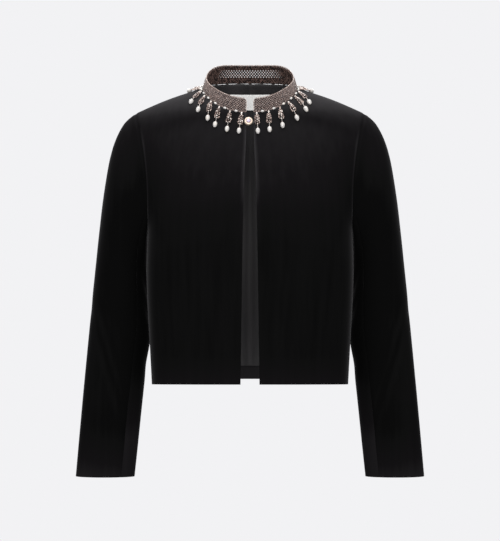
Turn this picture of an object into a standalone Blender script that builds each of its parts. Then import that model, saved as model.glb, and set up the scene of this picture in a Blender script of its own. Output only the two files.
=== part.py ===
"""Cropped velvet jacket with a beaded stand collar, filled out as when it is worn, with nobody in it.

It is cut as two fronts, a back and a two-piece sleeve on each side. A beaded band stands round the neck and
carries a row of pearl drops. One jewelled button holds the two front edges. The back lining, the turned-up
back hem and a bare neck label show through the front opening.

Metres, +Z up. The front faces -Y and the wearer's left is +X. The origin is midway between the neck ends of
the two shoulder seams, where the shoulders carry the jacket.
"""

import math

import bmesh
import bpy
import numpy as np
from mathutils import Vector
from mathutils.bvhtree import BVHTree

# Cloth
VELVET = 0.0020
LINING = 0.0010
BEAD_BAND = 0.0030
SEAM = 0.0003

# Neckline and collar: half width, reach to the front and to the back, and how square the ring is
NECK_HALF_WIDTH = 0.079
NECK_FRONT = 0.076
NECK_BACK = 0.064
COLLAR_TOP_HALF_WIDTH = 0.0735
COLLAR_TOP_FRONT = 0.069
COLLAR_TOP_BACK = 0.059
NECK_POWER = 0.80
# Height round a ring: level + tilt * cos(angle) + saddle * cos(2 * angle) + third * cos(3 * angle)
# + square * cos(4 * angle), where the angle is 0 at the centre front
NECK_HEIGHTS = {"level": -0.0045, "tilt": -0.0271, "saddle": -0.0075, "third": -0.0014, "square": 0.0}
COLLAR_HEIGHTS = {"level": 0.0214, "tilt": -0.0320, "saddle": -0.0035, "third": 0.0, "square": -0.0014}
COLLAR_CORNER = 0.007
COLLAR_BULGE = 0.0012
COLLAR_LIFT = 0.0010

# Body
HEM = -0.484
SIDE_HEM = -0.488
SIDE_Y = -0.010
# Centre front from hem to neck: height, reach to the front, half of the gap between the two edges
FRONT_EDGE = {
    "hem": (-0.484, -0.112, 0.0154),
    "low_waist": (-0.395, -0.117, 0.0141),
    "waist": (-0.325, -0.122, 0.0131),
    "bust": (-0.255, -0.127, 0.0119),
    "upper_bust": (-0.195, -0.125, 0.0106),
    "chest": (-0.135, -0.112, 0.0090),
    "high_chest": (-0.085, -0.095, 0.0067),
    "neck": (-0.0405, -0.076, 0.0062),
}
# Centre back from hem to neck: height, reach to the back
BACK_LINE = {
    "hem": (-0.484, 0.0980),
    "low_waist": (-0.395, 0.0965),
    "waist": (-0.325, 0.0945),
    "blade_low": (-0.255, 0.0995),
    "blade": (-0.195, 0.1060),
    "blade_high": (-0.135, 0.1090),
    "yoke": (-0.085, 0.1060),
    "nape_low": (-0.035, 0.0920),
    "nape": (0.0165, 0.0640),
}
# Side seam from hem to underarm: height, half width
SIDE_SEAM = {
    "hem": (-0.488, 0.1630),
    "low_waist": (-0.412, 0.1670),
    "waist": (-0.347, 0.1705),
    "under_bust": (-0.295, 0.1720),
    "underarm": (-0.238, 0.1700),
}
# Sections across the body, hem to shoulder seam. An edge runs 0 to 1 up the centre and 1 to 2 along the
# neckline; the side runs 0 to 1 up the side seam and 1 to 2 round the armhole. Turn is how far the section
# has rounded when it meets the side, power squares it, and a fall is the straight share of its drop.
SECTION_COLUMNS = ("front", "back", "side", "turn", "power", "front_fall", "back_fall")
SECTIONS = {
    "hem": (0.000, 0.000, 0.00, 90, 0.80, 0.00, 0.00),
    "low_waist": (0.200, 0.180, 0.31, 90, 0.80, 0.00, 0.00),
    "waist": (0.360, 0.320, 0.57, 90, 0.80, 0.00, 0.00),
    "under_bust": (0.460, 0.410, 0.78, 90, 0.80, 0.00, 0.00),
    "bust": (0.550, 0.500, 1.00, 90, 0.82, 0.00, 0.00),
    "upper_bust": (0.645, 0.585, 1.17, 80, 0.85, 0.05, 0.05),
    "chest": (0.745, 0.675, 1.31, 70, 0.88, 0.10, 0.10),
    "across": (0.855, 0.775, 1.45, 60, 0.91, 0.15, 0.15),
    "high_chest": (0.935, 0.865, 1.56, 52, 0.94, 0.22, 0.22),
    "neck": (1.000, 0.940, 1.67, 44, 0.96, 0.30, 0.33),
    "neck_third": (1.330, 1.000, 1.78, 36, 0.98, 0.38, 0.46),
    "neck_two_thirds": (1.670, 1.500, 1.89, 28, 1.00, 0.56, 0.80),
    "shoulder": (2.000, 2.000, 2.00, 20, 1.00, 0.63, 0.63),
}
BODY_STEPS = 2
BODY_COLUMNS = 13
SIDE_CROWDING = 1.25

# Armhole: shoulder point, underarm point, reach to front and back, egg shape and inward scoop
SHOULDER_POINT = (0.191, 0.002, -0.0375)
UNDERARM_POINT = (0.170, SIDE_Y, -0.238)
ARMHOLE_REACH = {"front": 0.052, "back": 0.056}
ARMHOLE_EGG = 0.18
ARMHOLE_SCOOP = 0.007

# Sleeve rings from the armhole down: outer edge x and z, inner edge x and z, half depth, centre y
RING_COLUMNS = ("out_x", "out_z", "in_x", "in_z", "depth", "y")
SLEEVE_RINGS = {
    "armhole": (0.1913, -0.0375, 0.1703, -0.2380, 0.0540, -0.004),
    "head": (0.2092, -0.0525, 0.1711, -0.2570, 0.0570, 0.007),
    "cap": (0.2251, -0.0810, 0.1716, -0.2740, 0.0605, 0.015),
    "cap_low": (0.2347, -0.1120, 0.1714, -0.2890, 0.0620, 0.021),
    "upper_arm": (0.2468, -0.1830, 0.1707, -0.3120, 0.0610, 0.026),
    "arm": (0.2530, -0.2350, 0.1696, -0.3400, 0.0590, 0.028),
    "above_elbow": (0.2590, -0.2900, 0.1681, -0.3720, 0.0565, 0.028),
    "elbow": (0.2644, -0.3450, 0.1669, -0.4060, 0.0535, 0.027),
    "below_elbow": (0.2693, -0.4030, 0.1726, -0.4500, 0.0500, 0.023),
    "forearm": (0.2743, -0.4600, 0.1778, -0.4980, 0.0455, 0.017),
    "low_arm": (0.2797, -0.5180, 0.1827, -0.5470, 0.0405, 0.010),
    "wrist": (0.2852, -0.5800, 0.1875, -0.5960, 0.0355, 0.004),
    "cuff": (0.2903, -0.6416, 0.1922, -0.6416, 0.0300, -0.002),
}
CAP_RINGS = 4
FRONT_ARM_SEAM = math.radians(125)
HIND_ARM_SEAM = math.radians(250)
SEAM_TURN = 0.0035
CAP_SEAM_SHARE = 2.8
UPPER_COLUMNS = 15
UNDER_COLUMNS = 8

# Inside the back: lining, turned-up hem and neck label
HEM_TURN_UP = 0.027
LINING_DROP = 0.004
LINING_TOP = 0.3
FACING_DEPTH = VELVET + SEAM
LINING_DEPTH = FACING_DEPTH + LINING + SEAM
PLEAT_HALF_WIDTH = 0.0085
PLEAT_DEPTH = 0.0026
LABEL_WIDTH = 0.067
LABEL_TOP = -0.0017
LABEL_HEIGHT = 0.0253
LABEL_THICKNESS = 0.0006

# Pearl drops, evenly spaced from the first one on each side, which is this far along from the centre front
DROPS_EACH_SIDE = 13
FIRST_DROP = {"left": 0.0105, "right": 0.0130}
DROP_START = 0.0030
DROP_CLEARANCE = 0.0008
DROP_SIDES = 6
DROP_SPLAY = 0.22
DROP_FALL = 0.85
# How far each drop leans away from the centre front, first to last; those not named hang straight
DROP_LEANS = {
    "left": (0.04, -0.02, 0.00, 0.15, 0.12, -0.08, 0.70, 0.55, 0.30, 0.10),
    "right": (0.10, 0.06, 0.05, -0.12, -0.10, -0.12, 0.75, 0.55, 0.30, 0.10),
}
# Along a drop from the collar: distance, half width, half thickness
DROP_PROFILE = {
    "root": (0.0000, 0.0011, 0.0011),
    "root_bead": (0.0020, 0.0019, 0.0017),
    "leaf_top": (0.0044, 0.0026, 0.0018),
    "leaf": (0.0120, 0.0037, 0.0022),
    "leaf_end": (0.0200, 0.0045, 0.0022),
    "wire_top": (0.0222, 0.0009, 0.0009),
    "wire": (0.0276, 0.0009, 0.0009),
    "pearl_cap": (0.0288, 0.0022, 0.0022),
    "pearl_high": (0.0313, 0.0036, 0.0036),
    "pearl_wide": (0.0341, 0.0039, 0.0039),
    "pearl_low": (0.0370, 0.0031, 0.0031),
    "pearl_end": (0.0394, 0.0010, 0.0010),
}

# Button and its cord loop
BUTTON_X = -0.0024
BUTTON_Z = -0.0578
BUTTON_GAP = 0.0034
BUTTON_SIDES = 20
# Button outline from its back to its front: radius, height
BUTTON_PROFILE = {
    "back": (0.0052, 0.0000),
    "rim_back": (0.0070, 0.0010),
    "rim": (0.0073, 0.0024),
    "rim_front": (0.0062, 0.0040),
    "seat": (0.0056, 0.0036),
    "dome": (0.0044, 0.0052),
    "crown": (0.0020, 0.0062),
}
LOOP_RADIUS = 0.0007
LOOP_X = 0.0011
LOOP_LENGTH = 0.0160
LOOP_WIDTH = 0.0040
LOOP_POINTS = 20

# Finishes: colour, roughness, metallic
FINISHES = {
    "velvet": ((0.006, 0.005, 0.006), 0.90, 0.0),
    "satin_lining": ((0.016, 0.015, 0.016), 0.45, 0.0),
    "bead_net": ((0.150, 0.115, 0.110), 0.35, 0.3),
    "pearl": ((0.780, 0.760, 0.700), 0.20, 0.0),
    "label_cloth": ((0.850, 0.840, 0.820), 0.70, 0.0),
    "jewel": ((0.800, 0.680, 0.520), 0.25, 0.6),
    "black_cord": ((0.010, 0.010, 0.010), 0.60, 0.0),
}


def clear_scene():
    for item in list(bpy.data.objects):
        bpy.data.objects.remove(item)


def finish(name):
    """The named material, made the first time it is asked for."""
    if name in bpy.data.materials:
        return bpy.data.materials[name]
    colour, roughness, metallic = FINISHES[name]
    made = bpy.data.materials.new(name)
    made.use_nodes = True
    shader = made.node_tree.nodes["Principled BSDF"]
    shader.inputs["Base Color"].default_value = (*colour, 1.0)
    shader.inputs["Roughness"].default_value = roughness
    shader.inputs["Metallic"].default_value = metallic
    return made


def column(table, number):
    return np.array([row[number] for row in table.values()])


def smooth(at, stops, values):
    """A cubic through a table's column that bends smoothly and never overshoots."""
    gap = np.diff(stops)
    slope = np.diff(values) / gap
    before, after = slope[:-1], slope[1:]
    same_way = before * after > 0
    total = np.where(same_way, before + after, 1.0)
    middle = np.where(same_way, 2 * before * after / total, 0.0)
    tangent = np.concatenate([slope[:1], middle, slope[-1:]])
    k = np.clip(np.searchsorted(stops, at, side="right") - 1, 0, len(gap) - 1)
    f = (at - stops[k]) / gap[k]
    rise = values[k + 1] - values[k]
    bend = gap[k] * ((1 - f) * tangent[k] - f * tangent[k + 1]) - (1 - 2 * f) * rise
    return values[k] + f * rise + f * (1 - f) * bend


def power(value, exponent):
    """A signed power, which squares the corners of a ring."""
    return np.sign(value) * np.abs(value) ** exponent


def ring_point(angle, half_width, front, back, heights):
    """A point of the neckline or of the collar's top: the angle is 0 at the centre front, pi at the back."""
    c = power(np.cos(angle), NECK_POWER)
    x = half_width * power(np.sin(angle), NECK_POWER)
    y = np.where(c > 0, -front * c, -back * c)
    z = heights["level"] + heights["tilt"] * np.cos(angle) + heights["saddle"] * np.cos(2 * angle)
    z = z + heights["third"] * np.cos(3 * angle) + heights["square"] * np.cos(4 * angle)
    return np.stack(np.broadcast_arrays(x, y, z), axis=-1)


def neckline(angle):
    return ring_point(angle, NECK_HALF_WIDTH, NECK_FRONT, NECK_BACK, NECK_HEIGHTS)


def collar_top(angle):
    return ring_point(
        angle, COLLAR_TOP_HALF_WIDTH, COLLAR_TOP_FRONT, COLLAR_TOP_BACK, COLLAR_HEIGHTS
    )


def front_neck_angle():
    """Where the neckline meets the front edge."""
    gap = FRONT_EDGE["neck"][2]
    return math.asin((gap / NECK_HALF_WIDTH) ** (1 / NECK_POWER))


def armhole(turn):
    """A point of the left armhole: the turn is 0 at the shoulder and runs forward to pi at the underarm."""
    top, under = np.array(SHOULDER_POINT), np.array(UNDERARM_POINT)
    c, s = np.cos(turn)[..., None], np.sin(turn)
    point = (top + under) / 2 + (top - under) / 2 * c
    reach = np.where(s > 0, ARMHOLE_REACH["front"], ARMHOLE_REACH["back"])
    point[..., 1] -= reach * s * (1 - ARMHOLE_EGG * np.cos(turn))
    point[..., 0] -= ARMHOLE_SCOOP * s**2
    return point


def centre_edge(face, station):
    """A point of the front edge and front neckline, or of the centre back and back neckline."""
    low = np.clip(station, 0, 1)
    along = np.clip(station - 1, 0, 1)
    if face == "front":
        heights = column(FRONT_EDGE, 0)
        z = HEM + (heights[-1] - HEM) * low
        start = front_neck_angle()
        x, y = smooth(z, heights, column(FRONT_EDGE, 2)), smooth(z, heights, column(FRONT_EDGE, 1))
    else:
        heights = column(BACK_LINE, 0)
        z = HEM + (heights[-1] - HEM) * low
        start = math.pi
        x, y = np.zeros_like(z), smooth(z, heights, column(BACK_LINE, 1))
    on_edge = np.stack([x, y, z], axis=-1)
    on_neck = neckline(start + (math.pi / 2 - start) * along)
    return np.where((station <= 1)[..., None], on_edge, on_neck)


def side_edge(face, station):
    """A point of the side seam and armhole."""
    heights = column(SIDE_SEAM, 0)
    z = SIDE_HEM + (heights[-1] - SIDE_HEM) * np.clip(station, 0, 1)
    on_side = np.stack([smooth(z, heights, column(SIDE_SEAM, 1)), np.full_like(z, SIDE_Y), z], axis=-1)
    turn = math.pi * (2 - np.clip(station, 1, 2))
    on_armhole = armhole(turn if face == "front" else -turn)
    return np.where((station <= 1)[..., None], on_side, on_armhole)


def body(face, across, section):
    """A point of the left front or left half back: across is 0 at the centre and 1 at the side."""
    stops = np.arange(len(SECTIONS), dtype=float)
    values = {
        name: smooth(section, stops, column(SECTIONS, k)) for k, name in enumerate(SECTION_COLUMNS)
    }
    centre, side = centre_edge(face, values[face]), side_edge(face, values["side"])
    turn, square = np.radians(values["turn"]), values["power"]
    out = (np.sin(turn * across) / np.sin(turn)) ** square
    full = 1 - np.maximum(np.cos(turn), 0) ** square
    back = (1 - np.maximum(np.cos(turn * across), 0) ** square) / full
    straight = values[f"{face}_fall"]
    fall = straight * across + (1 - straight) * across**2
    return centre + (side - centre) * np.stack([out, back, fall], axis=-1)


def sleeve(turn, ring):
    """A point of the left sleeve: ring 0 is the armhole, and the turn is that of the armhole."""
    stops = np.arange(len(SLEEVE_RINGS), dtype=float)
    value = {
        name: smooth(ring, stops, column(SLEEVE_RINGS, k)) for k, name in enumerate(RING_COLUMNS)
    }
    c, s = np.cos(turn), np.sin(turn)
    away = np.clip(ring / CAP_RINGS, 0, 1)
    like_armhole = (1 - away) ** 2 * (1 + 2 * away)
    x = (value["out_x"] + value["in_x"]) / 2 + (value["out_x"] - value["in_x"]) / 2 * c
    z = (value["out_z"] + value["in_z"]) / 2 + (value["out_z"] - value["in_z"]) / 2 * c
    front_less = (ARMHOLE_REACH["back"] - ARMHOLE_REACH["front"]) / 2 * np.sign(s)
    depth = value["depth"] - front_less * like_armhole
    lean = (SHOULDER_POINT[1] - UNDERARM_POINT[1]) / 2 * like_armhole
    y = value["y"] + lean * c - depth * s * (1 - ARMHOLE_EGG * like_armhole * c)
    return np.stack([x - ARMHOLE_SCOOP * like_armhole * s**2, y, z], axis=-1)


def collar(angle, height):
    """A point of the collar's outer face: height is 0 at the neckline and 1 at the top edge."""
    low, high = neckline(angle), collar_top(angle)
    outward = np.stack([np.sin(angle), -np.cos(angle), np.zeros_like(angle)], axis=-1)
    swell = COLLAR_BULGE * 4 * height * (1 - height)
    return low + (high - low) * height[..., None] + outward * swell[..., None]


def normals(surface, u, v, u_ends, v_ends, step=1e-3):
    """Unit normals of a surface of two parameters, by differences kept inside its ends."""
    u_low, u_high = np.clip(u - step, *u_ends), np.clip(u + step, *u_ends)
    v_low, v_high = np.clip(v - step, *v_ends), np.clip(v + step, *v_ends)
    along_u = surface(u_high, v) - surface(u_low, v)
    along_v = surface(u, v_high) - surface(u, v_low)
    n = np.cross(along_u, along_v)
    return n / np.linalg.norm(n, axis=-1, keepdims=True)


def unit(vectors):
    return vectors / np.linalg.norm(vectors, axis=-1, keepdims=True)


def mirrored(grid):
    """The same grid on the other side, with its columns turned round so that it still faces out."""
    return (grid * np.array([-1, 1, 1]))[:, ::-1]


def both_sides(grid):
    return [grid, mirrored(grid)]


def add(name, mesh, material):
    """A named object with its mesh, its faces pointing out."""
    shape = bmesh.new()
    shape.from_mesh(mesh)
    bmesh.ops.recalc_face_normals(shape, faces=shape.faces)
    shape.to_mesh(mesh)
    shape.free()
    mesh.shade_smooth()
    mesh.set_sharp_from_angle(angle=math.radians(50))
    mesh.materials.append(finish(material))
    made = bpy.data.objects.new(name, mesh)
    bpy.context.scene.collection.objects.link(made)
    return made


def grid_faces(grids):
    """All the quads of some grids, over their points one grid after another."""
    quads, start = [], 0
    for grid in grids:
        rows, columns = grid.shape[:2]
        index = np.arange(rows * columns).reshape(rows, columns) + start
        corners = index[:-1, :-1], index[:-1, 1:], index[1:, 1:], index[1:, :-1]
        quads.append(np.stack(corners, axis=-1).reshape(-1, 4))
        start += rows * columns
    return np.concatenate(quads)


def wall(name, outer, inner, material):
    """A closed wall between outer and inner grids, joined where grids share points, with a rim elsewhere."""
    flat = np.concatenate([grid.reshape(-1, 3) for grid in outer])
    flat_inner = np.concatenate([grid.reshape(-1, 3) for grid in inner])
    _, first, place = np.unique(np.round(flat, 7), axis=0, return_index=True, return_inverse=True)
    front = place.reshape(-1)[grid_faces(outer)]
    back = front[:, ::-1] + len(first)
    edges = {(a, b) for quad in front.tolist() for a, b in zip(quad, quad[1:] + quad[:1])}
    rim = [[b, a, a + len(first), b + len(first)] for a, b in sorted(edges) if (b, a) not in edges]
    mesh = bpy.data.meshes.new(name)
    points = np.concatenate([flat[first], flat_inner[first]])
    mesh.from_pydata(points.tolist(), [], front.tolist() + back.tolist() + rim)
    return add(name, mesh, material)


def tube(name, rings, material):
    """A closed tube through rings of points, with flat ends."""
    count, sides = rings.shape[:2]
    index = np.arange(count * sides).reshape(count, sides)
    faces = [index[0].tolist(), index[-1].tolist()]
    for low, high in zip(index, index[1:]):
        turned_low, turned_high = np.roll(low, -1), np.roll(high, -1)
        faces += np.stack([low, turned_low, turned_high, high], axis=-1).tolist()
    mesh = bpy.data.meshes.new(name)
    mesh.from_pydata(rings.reshape(-1, 3).tolist(), [], faces)
    return add(name, mesh, material)


def body_grid(face, across, section):
    """Points and outward normals of half a body panel. Both panels share the normals of a common seam."""
    u, v = np.meshgrid(across, section)
    last = len(SECTIONS) - 1.0
    ends = (0, 1), (0, last)
    points = body(face, u, v)
    sign = 1 if face == "front" else -1
    n = sign * normals(lambda a, b: body(face, a, b), u, v, *ends)
    other = "back" if face == "front" else "front"
    n_other = -sign * normals(lambda a, b: body(other, a, b), u, v, *ends)
    n[-1] = unit(n[-1] + n_other[-1])
    side = np.isclose(across, 1)[None, :] & (section <= list(SECTIONS).index("bust"))[:, None]
    n[side] = unit(n[side] + n_other[side])
    if face == "back":
        n[np.isclose(points[..., 0], 0), 0] = 0
        return points[:, ::-1], n[:, ::-1]
    return points, n


def section_stops():
    return np.linspace(0, len(SECTIONS) - 1, (len(SECTIONS) - 1) * BODY_STEPS + 1)


def body_columns():
    """Places across a body panel, closer together where it turns into the side."""
    return 1 - (1 - np.linspace(0, 1, BODY_COLUMNS)) ** SIDE_CROWDING


def body_panel_points(face):
    """Outer and inner points of the left front or left half back, drawn back from its seams."""
    section = section_stops()
    outer, n = body_grid(face, body_columns(), section)
    inner = outer - n * VELVET
    edge, beside = (-1, -2) if face == "front" else (0, 1)
    below_arm = section <= list(SECTIONS).index("bust")
    for grid in (outer, inner):
        grid[-1] += SEAM / 2 * unit(grid[-2] - grid[-1])
        side = grid[below_arm, edge]
        grid[below_arm, edge] = side + SEAM / 2 * unit(grid[below_arm, beside] - side)
    # At the armhole the wall's rim never leans out past the seam, so the sleeve keeps clear of it.
    lean = np.maximum(inner[~below_arm, edge, 0] - outer[~below_arm, edge, 0], 0)
    inner[~below_arm, edge, 0] -= lean
    return outer, inner


def make_body():
    """The two fronts and the back. Returns the outer points of all three."""
    outer, inner = body_panel_points("front")
    wall("front_left", [outer], [inner], "velvet")
    wall("front_right", [mirrored(outer)], [mirrored(inner)], "velvet")
    back_outer, back_inner = body_panel_points("back")
    wall("back", both_sides(back_outer), both_sides(back_inner), "velvet")
    return both_sides(outer) + both_sides(back_outer)


def sleeve_rings():
    """Ring stops, closer together over the sleeve head."""
    return np.concatenate([np.arange(0, CAP_RINGS, 0.5), np.arange(CAP_RINGS, len(SLEEVE_RINGS))])


def sleeve_panel(start, end, columns):
    """Outer and inner points of one sleeve panel of the left arm, between two seams."""
    share, v = np.meshgrid(np.linspace(0, 1, columns), sleeve_rings())
    # Near the armhole the seams run almost along the rings, so they are opened by more of a turn there.
    gap = SEAM_TURN * (1 + CAP_SEAM_SHARE * np.clip(1 - v / CAP_RINGS, 0, 1))
    u = start + gap + (end - start - 2 * gap) * share
    ends = (-2 * math.pi, 2 * math.pi), (0, len(SLEEVE_RINGS) - 1.0)
    outer = sleeve(u, v)
    inner = outer - normals(sleeve, u, v, *ends) * VELVET
    inner[0, :, 0] = np.maximum(inner[0, :, 0], outer[0, :, 0])
    return outer, inner


def make_sleeves():
    """The upper and under sleeve of each arm."""
    panels = {
        "upper_sleeve": sleeve_panel(HIND_ARM_SEAM - 2 * math.pi, FRONT_ARM_SEAM, UPPER_COLUMNS),
        "under_sleeve": sleeve_panel(FRONT_ARM_SEAM, HIND_ARM_SEAM, UNDER_COLUMNS),
    }
    for name, (outer, inner) in panels.items():
        wall(f"{name}_left", [outer], [inner], "velvet")
        wall(f"{name}_right", [mirrored(outer)], [mirrored(inner)], "velvet")


def arc_angles(distances):
    """Neckline angles at distances along it from the centre front."""
    angle = np.linspace(0, math.pi, 2001)
    points = neckline(angle)
    along = np.concatenate([[0], np.cumsum(np.linalg.norm(np.diff(points, axis=0), axis=1))])
    return np.interp(distances, along, angle)


def collar_columns():
    """Angles of the left half collar, from its rounded front end to the centre back."""
    end = FRONT_EDGE["neck"][2]
    corner = end + COLLAR_CORNER * (1 - np.cos(np.linspace(0, math.pi / 2, 5)))
    rest = np.linspace(corner[-1] + 0.008, arc_length(), 17)
    return arc_angles(np.concatenate([corner, rest])), np.concatenate([corner, rest]) - end


def arc_length():
    points = neckline(np.linspace(0, math.pi, 2001))
    return float(np.linalg.norm(np.diff(points, axis=0), axis=1).sum())


def make_collar():
    """The beaded band: its top front corners are rounded, and it stands just clear of the neckline."""
    angle, from_end = collar_columns()
    tall = np.linalg.norm(collar_top(angle) - neckline(angle), axis=-1)
    into_corner = np.clip(COLLAR_CORNER - from_end, 0, COLLAR_CORNER)
    cut = COLLAR_CORNER - np.sqrt(COLLAR_CORNER**2 - into_corner**2)
    share = np.linspace(0, 1, 5)[:, None]
    bottom = COLLAR_LIFT / tall
    v = bottom + (1 - cut / tall - bottom) * share
    u = np.broadcast_to(angle, v.shape)
    outer = collar(u, v)
    inner = outer - normals(collar, u, v, (0, 2 * math.pi), (0, 1)) * BEAD_BAND
    for grid in (outer, inner):
        grid[:, -1, 0] = 0
    wall("collar_band", both_sides(outer), both_sides(inner), "bead_net")


def pleat(x):
    """How far the lining's centre back pleat stands in from the rest."""
    return PLEAT_DEPTH * np.clip(1 - np.abs(x) / PLEAT_HALF_WIDTH, 0, 1)


def between(grid, places, axis):
    """A grid's rows or columns at whole and part numbers, straight between two neighbours."""
    low = np.minimum(np.floor(places).astype(int), grid.shape[axis] - 2)
    share = (places - low).reshape([-1 if k == axis else 1 for k in range(3)])
    return np.take(grid, low, axis) * (1 - share) + np.take(grid, low + 1, axis) * share


def inside_back(columns, rows, depth):
    """Points inside the left half back, moved in by a depth from its own rows and columns."""
    points, n = body_grid("back", body_columns(), section_stops())
    moved = (points - n * depth)[:, ::-1]
    return between(between(moved, rows, 0), columns, 1)[:, ::-1]


def row_at_height(z):
    """The part number of the back's row whose centre is at this height."""
    points = body("back", np.zeros_like(section_stops()), section_stops())
    rising = np.argmax(points[:, 2]) + 1
    return float(np.interp(z, points[:rising, 2], np.arange(rising)))


def make_inside():
    """The turned-up back hem, the back lining with its ease pleat, and the bare label."""
    columns = np.arange(BODY_COLUMNS - 1.0)
    turn_up = np.array([0, row_at_height(HEM + HEM_TURN_UP)])
    layers = [inside_back(columns, turn_up, FACING_DEPTH + d) for d in (0, LINING)]
    wall("back_hem_facing", *map(both_sides, layers), "velvet")
    low = row_at_height(HEM + HEM_TURN_UP - LINING_DROP)
    last = len(section_stops()) - 1
    rows = np.concatenate([[low], np.arange(math.ceil(low), last), [last - LINING_TOP]])
    pleat_columns = np.concatenate([[0, 0.2, 0.4, 0.7], columns[1:]])
    layers = []
    for depth in (LINING_DEPTH, LINING_DEPTH + LINING):
        layer = inside_back(pleat_columns, rows, depth)
        layer[..., 1] -= pleat(layer[..., 0])
        layers.append(layer)
    wall("back_lining", *map(both_sides, layers), "satin_lining")
    make_label(both_sides(layers[1]))


def make_label(lining):
    """A bare cloth label on the lining below the back neck."""
    x = np.linspace(LABEL_WIDTH / 2, -LABEL_WIDTH / 2, 9)
    z = np.linspace(LABEL_TOP - LABEL_HEIGHT, LABEL_TOP, 4)
    tree = surface_tree(lining)
    outer = np.zeros((len(z), len(x), 3))
    for i, height in enumerate(z):
        for j, place in enumerate(x):
            outer[i, j] = tree.ray_cast(Vector((place, 0, height)), Vector((0, 1, 0)))[0]
    outer[..., 1] -= PLEAT_DEPTH + SEAM - pleat(outer[..., 0])
    inner = outer - np.array([0, LABEL_THICKNESS, 0])
    wall("neck_label", [outer], [inner], "label_cloth")


def surface_tree(grids):
    """A search tree of grids of points."""
    points = np.concatenate([grid.reshape(-1, 3) for grid in grids])
    return BVHTree.FromPolygons(points.tolist(), grid_faces(grids).tolist())


def drop_path(angle, lean, tree):
    """Points and outward normals of a drop from the collar's lower edge over the cloth."""
    start = neckline(np.array(angle))
    ahead = neckline(np.array(angle + 1e-3)) - neckline(np.array(angle - 1e-3))
    out = unit(np.array([-ahead[1], ahead[0], 0.0]))
    out = out if out @ (start * np.array([1, 1, 0])) > 0 else -out
    away = unit(ahead) * math.copysign(lean, lean * angle)
    heading = unit(out * DROP_SPLAY + away + np.array([0, 0, -DROP_FALL]))
    distances = column(DROP_PROFILE, 0)
    thickness = column(DROP_PROFILE, 2)
    here = Vector(start + DROP_START * out)
    points, ups = [], []
    for k, step in enumerate(np.diff(distances, prepend=0.0)):
        hit, up, _, _ = tree.find_nearest(here)
        along = Vector(heading) - up * up.dot(Vector(heading))
        here, up, _, _ = tree.find_nearest(hit + along.normalized() * step)
        points.append(np.array(here + up * (thickness[k] + DROP_CLEARANCE)))
        ups.append(np.array(up))
    return np.array(points), np.array(ups)


def shortfall(ring, up, tree):
    """How much nearer to the cloth than the clearance a ring of points comes."""
    heights = [(point - np.array(tree.find_nearest(Vector(point))[0])) @ up for point in ring]
    return max(0.0, DROP_CLEARANCE - min(heights))


def lifted(rings, ups, tree):
    """Rings moved out where they, or the tube between two of them, come too near to the cloth."""
    for share in (0.0, 0.25, 0.5, 0.75):
        for k in range(len(rings) - 1):
            up = unit(ups[k] + ups[k + 1])
            by = shortfall(rings[k] * (1 - share) + rings[k + 1] * share, up, tree)
            rings[k] += up * by
            rings[k + 1] += up * by
    return rings


def make_drops(grids):
    """Pearl drops all round the collar, each a leaf of beads, a wire and a pearl in one closed tube."""
    tree = surface_tree(grids)
    turn = np.linspace(0, 2 * math.pi, DROP_SIDES, endpoint=False)
    width, thickness = column(DROP_PROFILE, 1), column(DROP_PROFILE, 2)
    for side, first in FIRST_DROP.items():
        spacing = (arc_length() - first) / (DROPS_EACH_SIDE - 0.5)
        angles = arc_angles(first + spacing * np.arange(DROPS_EACH_SIDE))
        angles = angles if side == "left" else -angles
        leans = DROP_LEANS[side] + (0.0,) * (DROPS_EACH_SIDE - len(DROP_LEANS[side]))
        for number, (angle, lean) in enumerate(zip(angles, leans), 1):
            points, ups = drop_path(angle, lean, tree)
            tangent = unit(np.gradient(points, axis=0))
            across = unit(np.cross(tangent, ups))
            up = np.cross(across, tangent)
            rings = (
                points[:, None]
                + across[:, None] * (width[:, None] * np.cos(turn))[..., None]
                + up[:, None] * (thickness[:, None] * np.sin(turn))[..., None]
            )
            tube(f"drop_{side}_{number:02d}", lifted(rings, ups, tree), "pearl")


def button_seat():
    """Height of the front edge and the way it faces at the button."""
    heights = column(FRONT_EDGE, 0)
    reach = column(FRONT_EDGE, 1)
    low, high = (float(smooth(np.array(BUTTON_Z + d), heights, reach)) for d in (-0.005, 0.005))
    facing = unit(np.array([0, -0.010, low - high]) * np.array([1, 1, -1]))
    return np.array([BUTTON_X, (low + high) / 2, BUTTON_Z]), facing


def make_button():
    """A domed jewel in a round rim, over the two front edges, with its cord loop behind it."""
    seat, facing = button_seat()
    sideways = np.array([1.0, 0, 0])
    upward = np.cross(facing, sideways)
    turn = np.linspace(0, 2 * math.pi, BUTTON_SIDES, endpoint=False)
    rim = np.cos(turn)[:, None] * sideways + np.sin(turn)[:, None] * upward
    radius, height = column(BUTTON_PROFILE, 0), column(BUTTON_PROFILE, 1)
    rings = seat + facing * (BUTTON_GAP + height)[:, None, None] + rim * radius[:, None, None]
    tube("button", rings, "jewel")
    straight = (LOOP_LENGTH - LOOP_WIDTH) / 2
    around = np.linspace(0, 2 * math.pi, LOOP_POINTS, endpoint=False)
    across = LOOP_X + np.cos(around) * LOOP_WIDTH / 2 + straight * np.sign(np.cos(around))
    up = np.sin(around) * LOOP_WIDTH / 2
    route = seat + facing * (LOOP_RADIUS + 3 * SEAM) + across[:, None] * sideways + up[:, None] * upward
    cord = bpy.data.curves.new("button_loop", "CURVE")
    cord.dimensions = "3D"
    cord.bevel_depth = LOOP_RADIUS
    cord.bevel_resolution = 1
    line = cord.splines.new("POLY")
    line.points.add(len(route) - 1)
    line.points.foreach_set("co", np.column_stack([route, np.ones(len(route))]).ravel())
    line.use_cyclic_u = True
    cord.materials.append(finish("black_cord"))
    bpy.context.scene.collection.objects.link(bpy.data.objects.new("button_loop", cord))


def main():
    clear_scene()
    grids = make_body()
    make_sleeves()
    make_collar()
    make_inside()
    make_drops(grids)
    make_button()


main()
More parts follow.
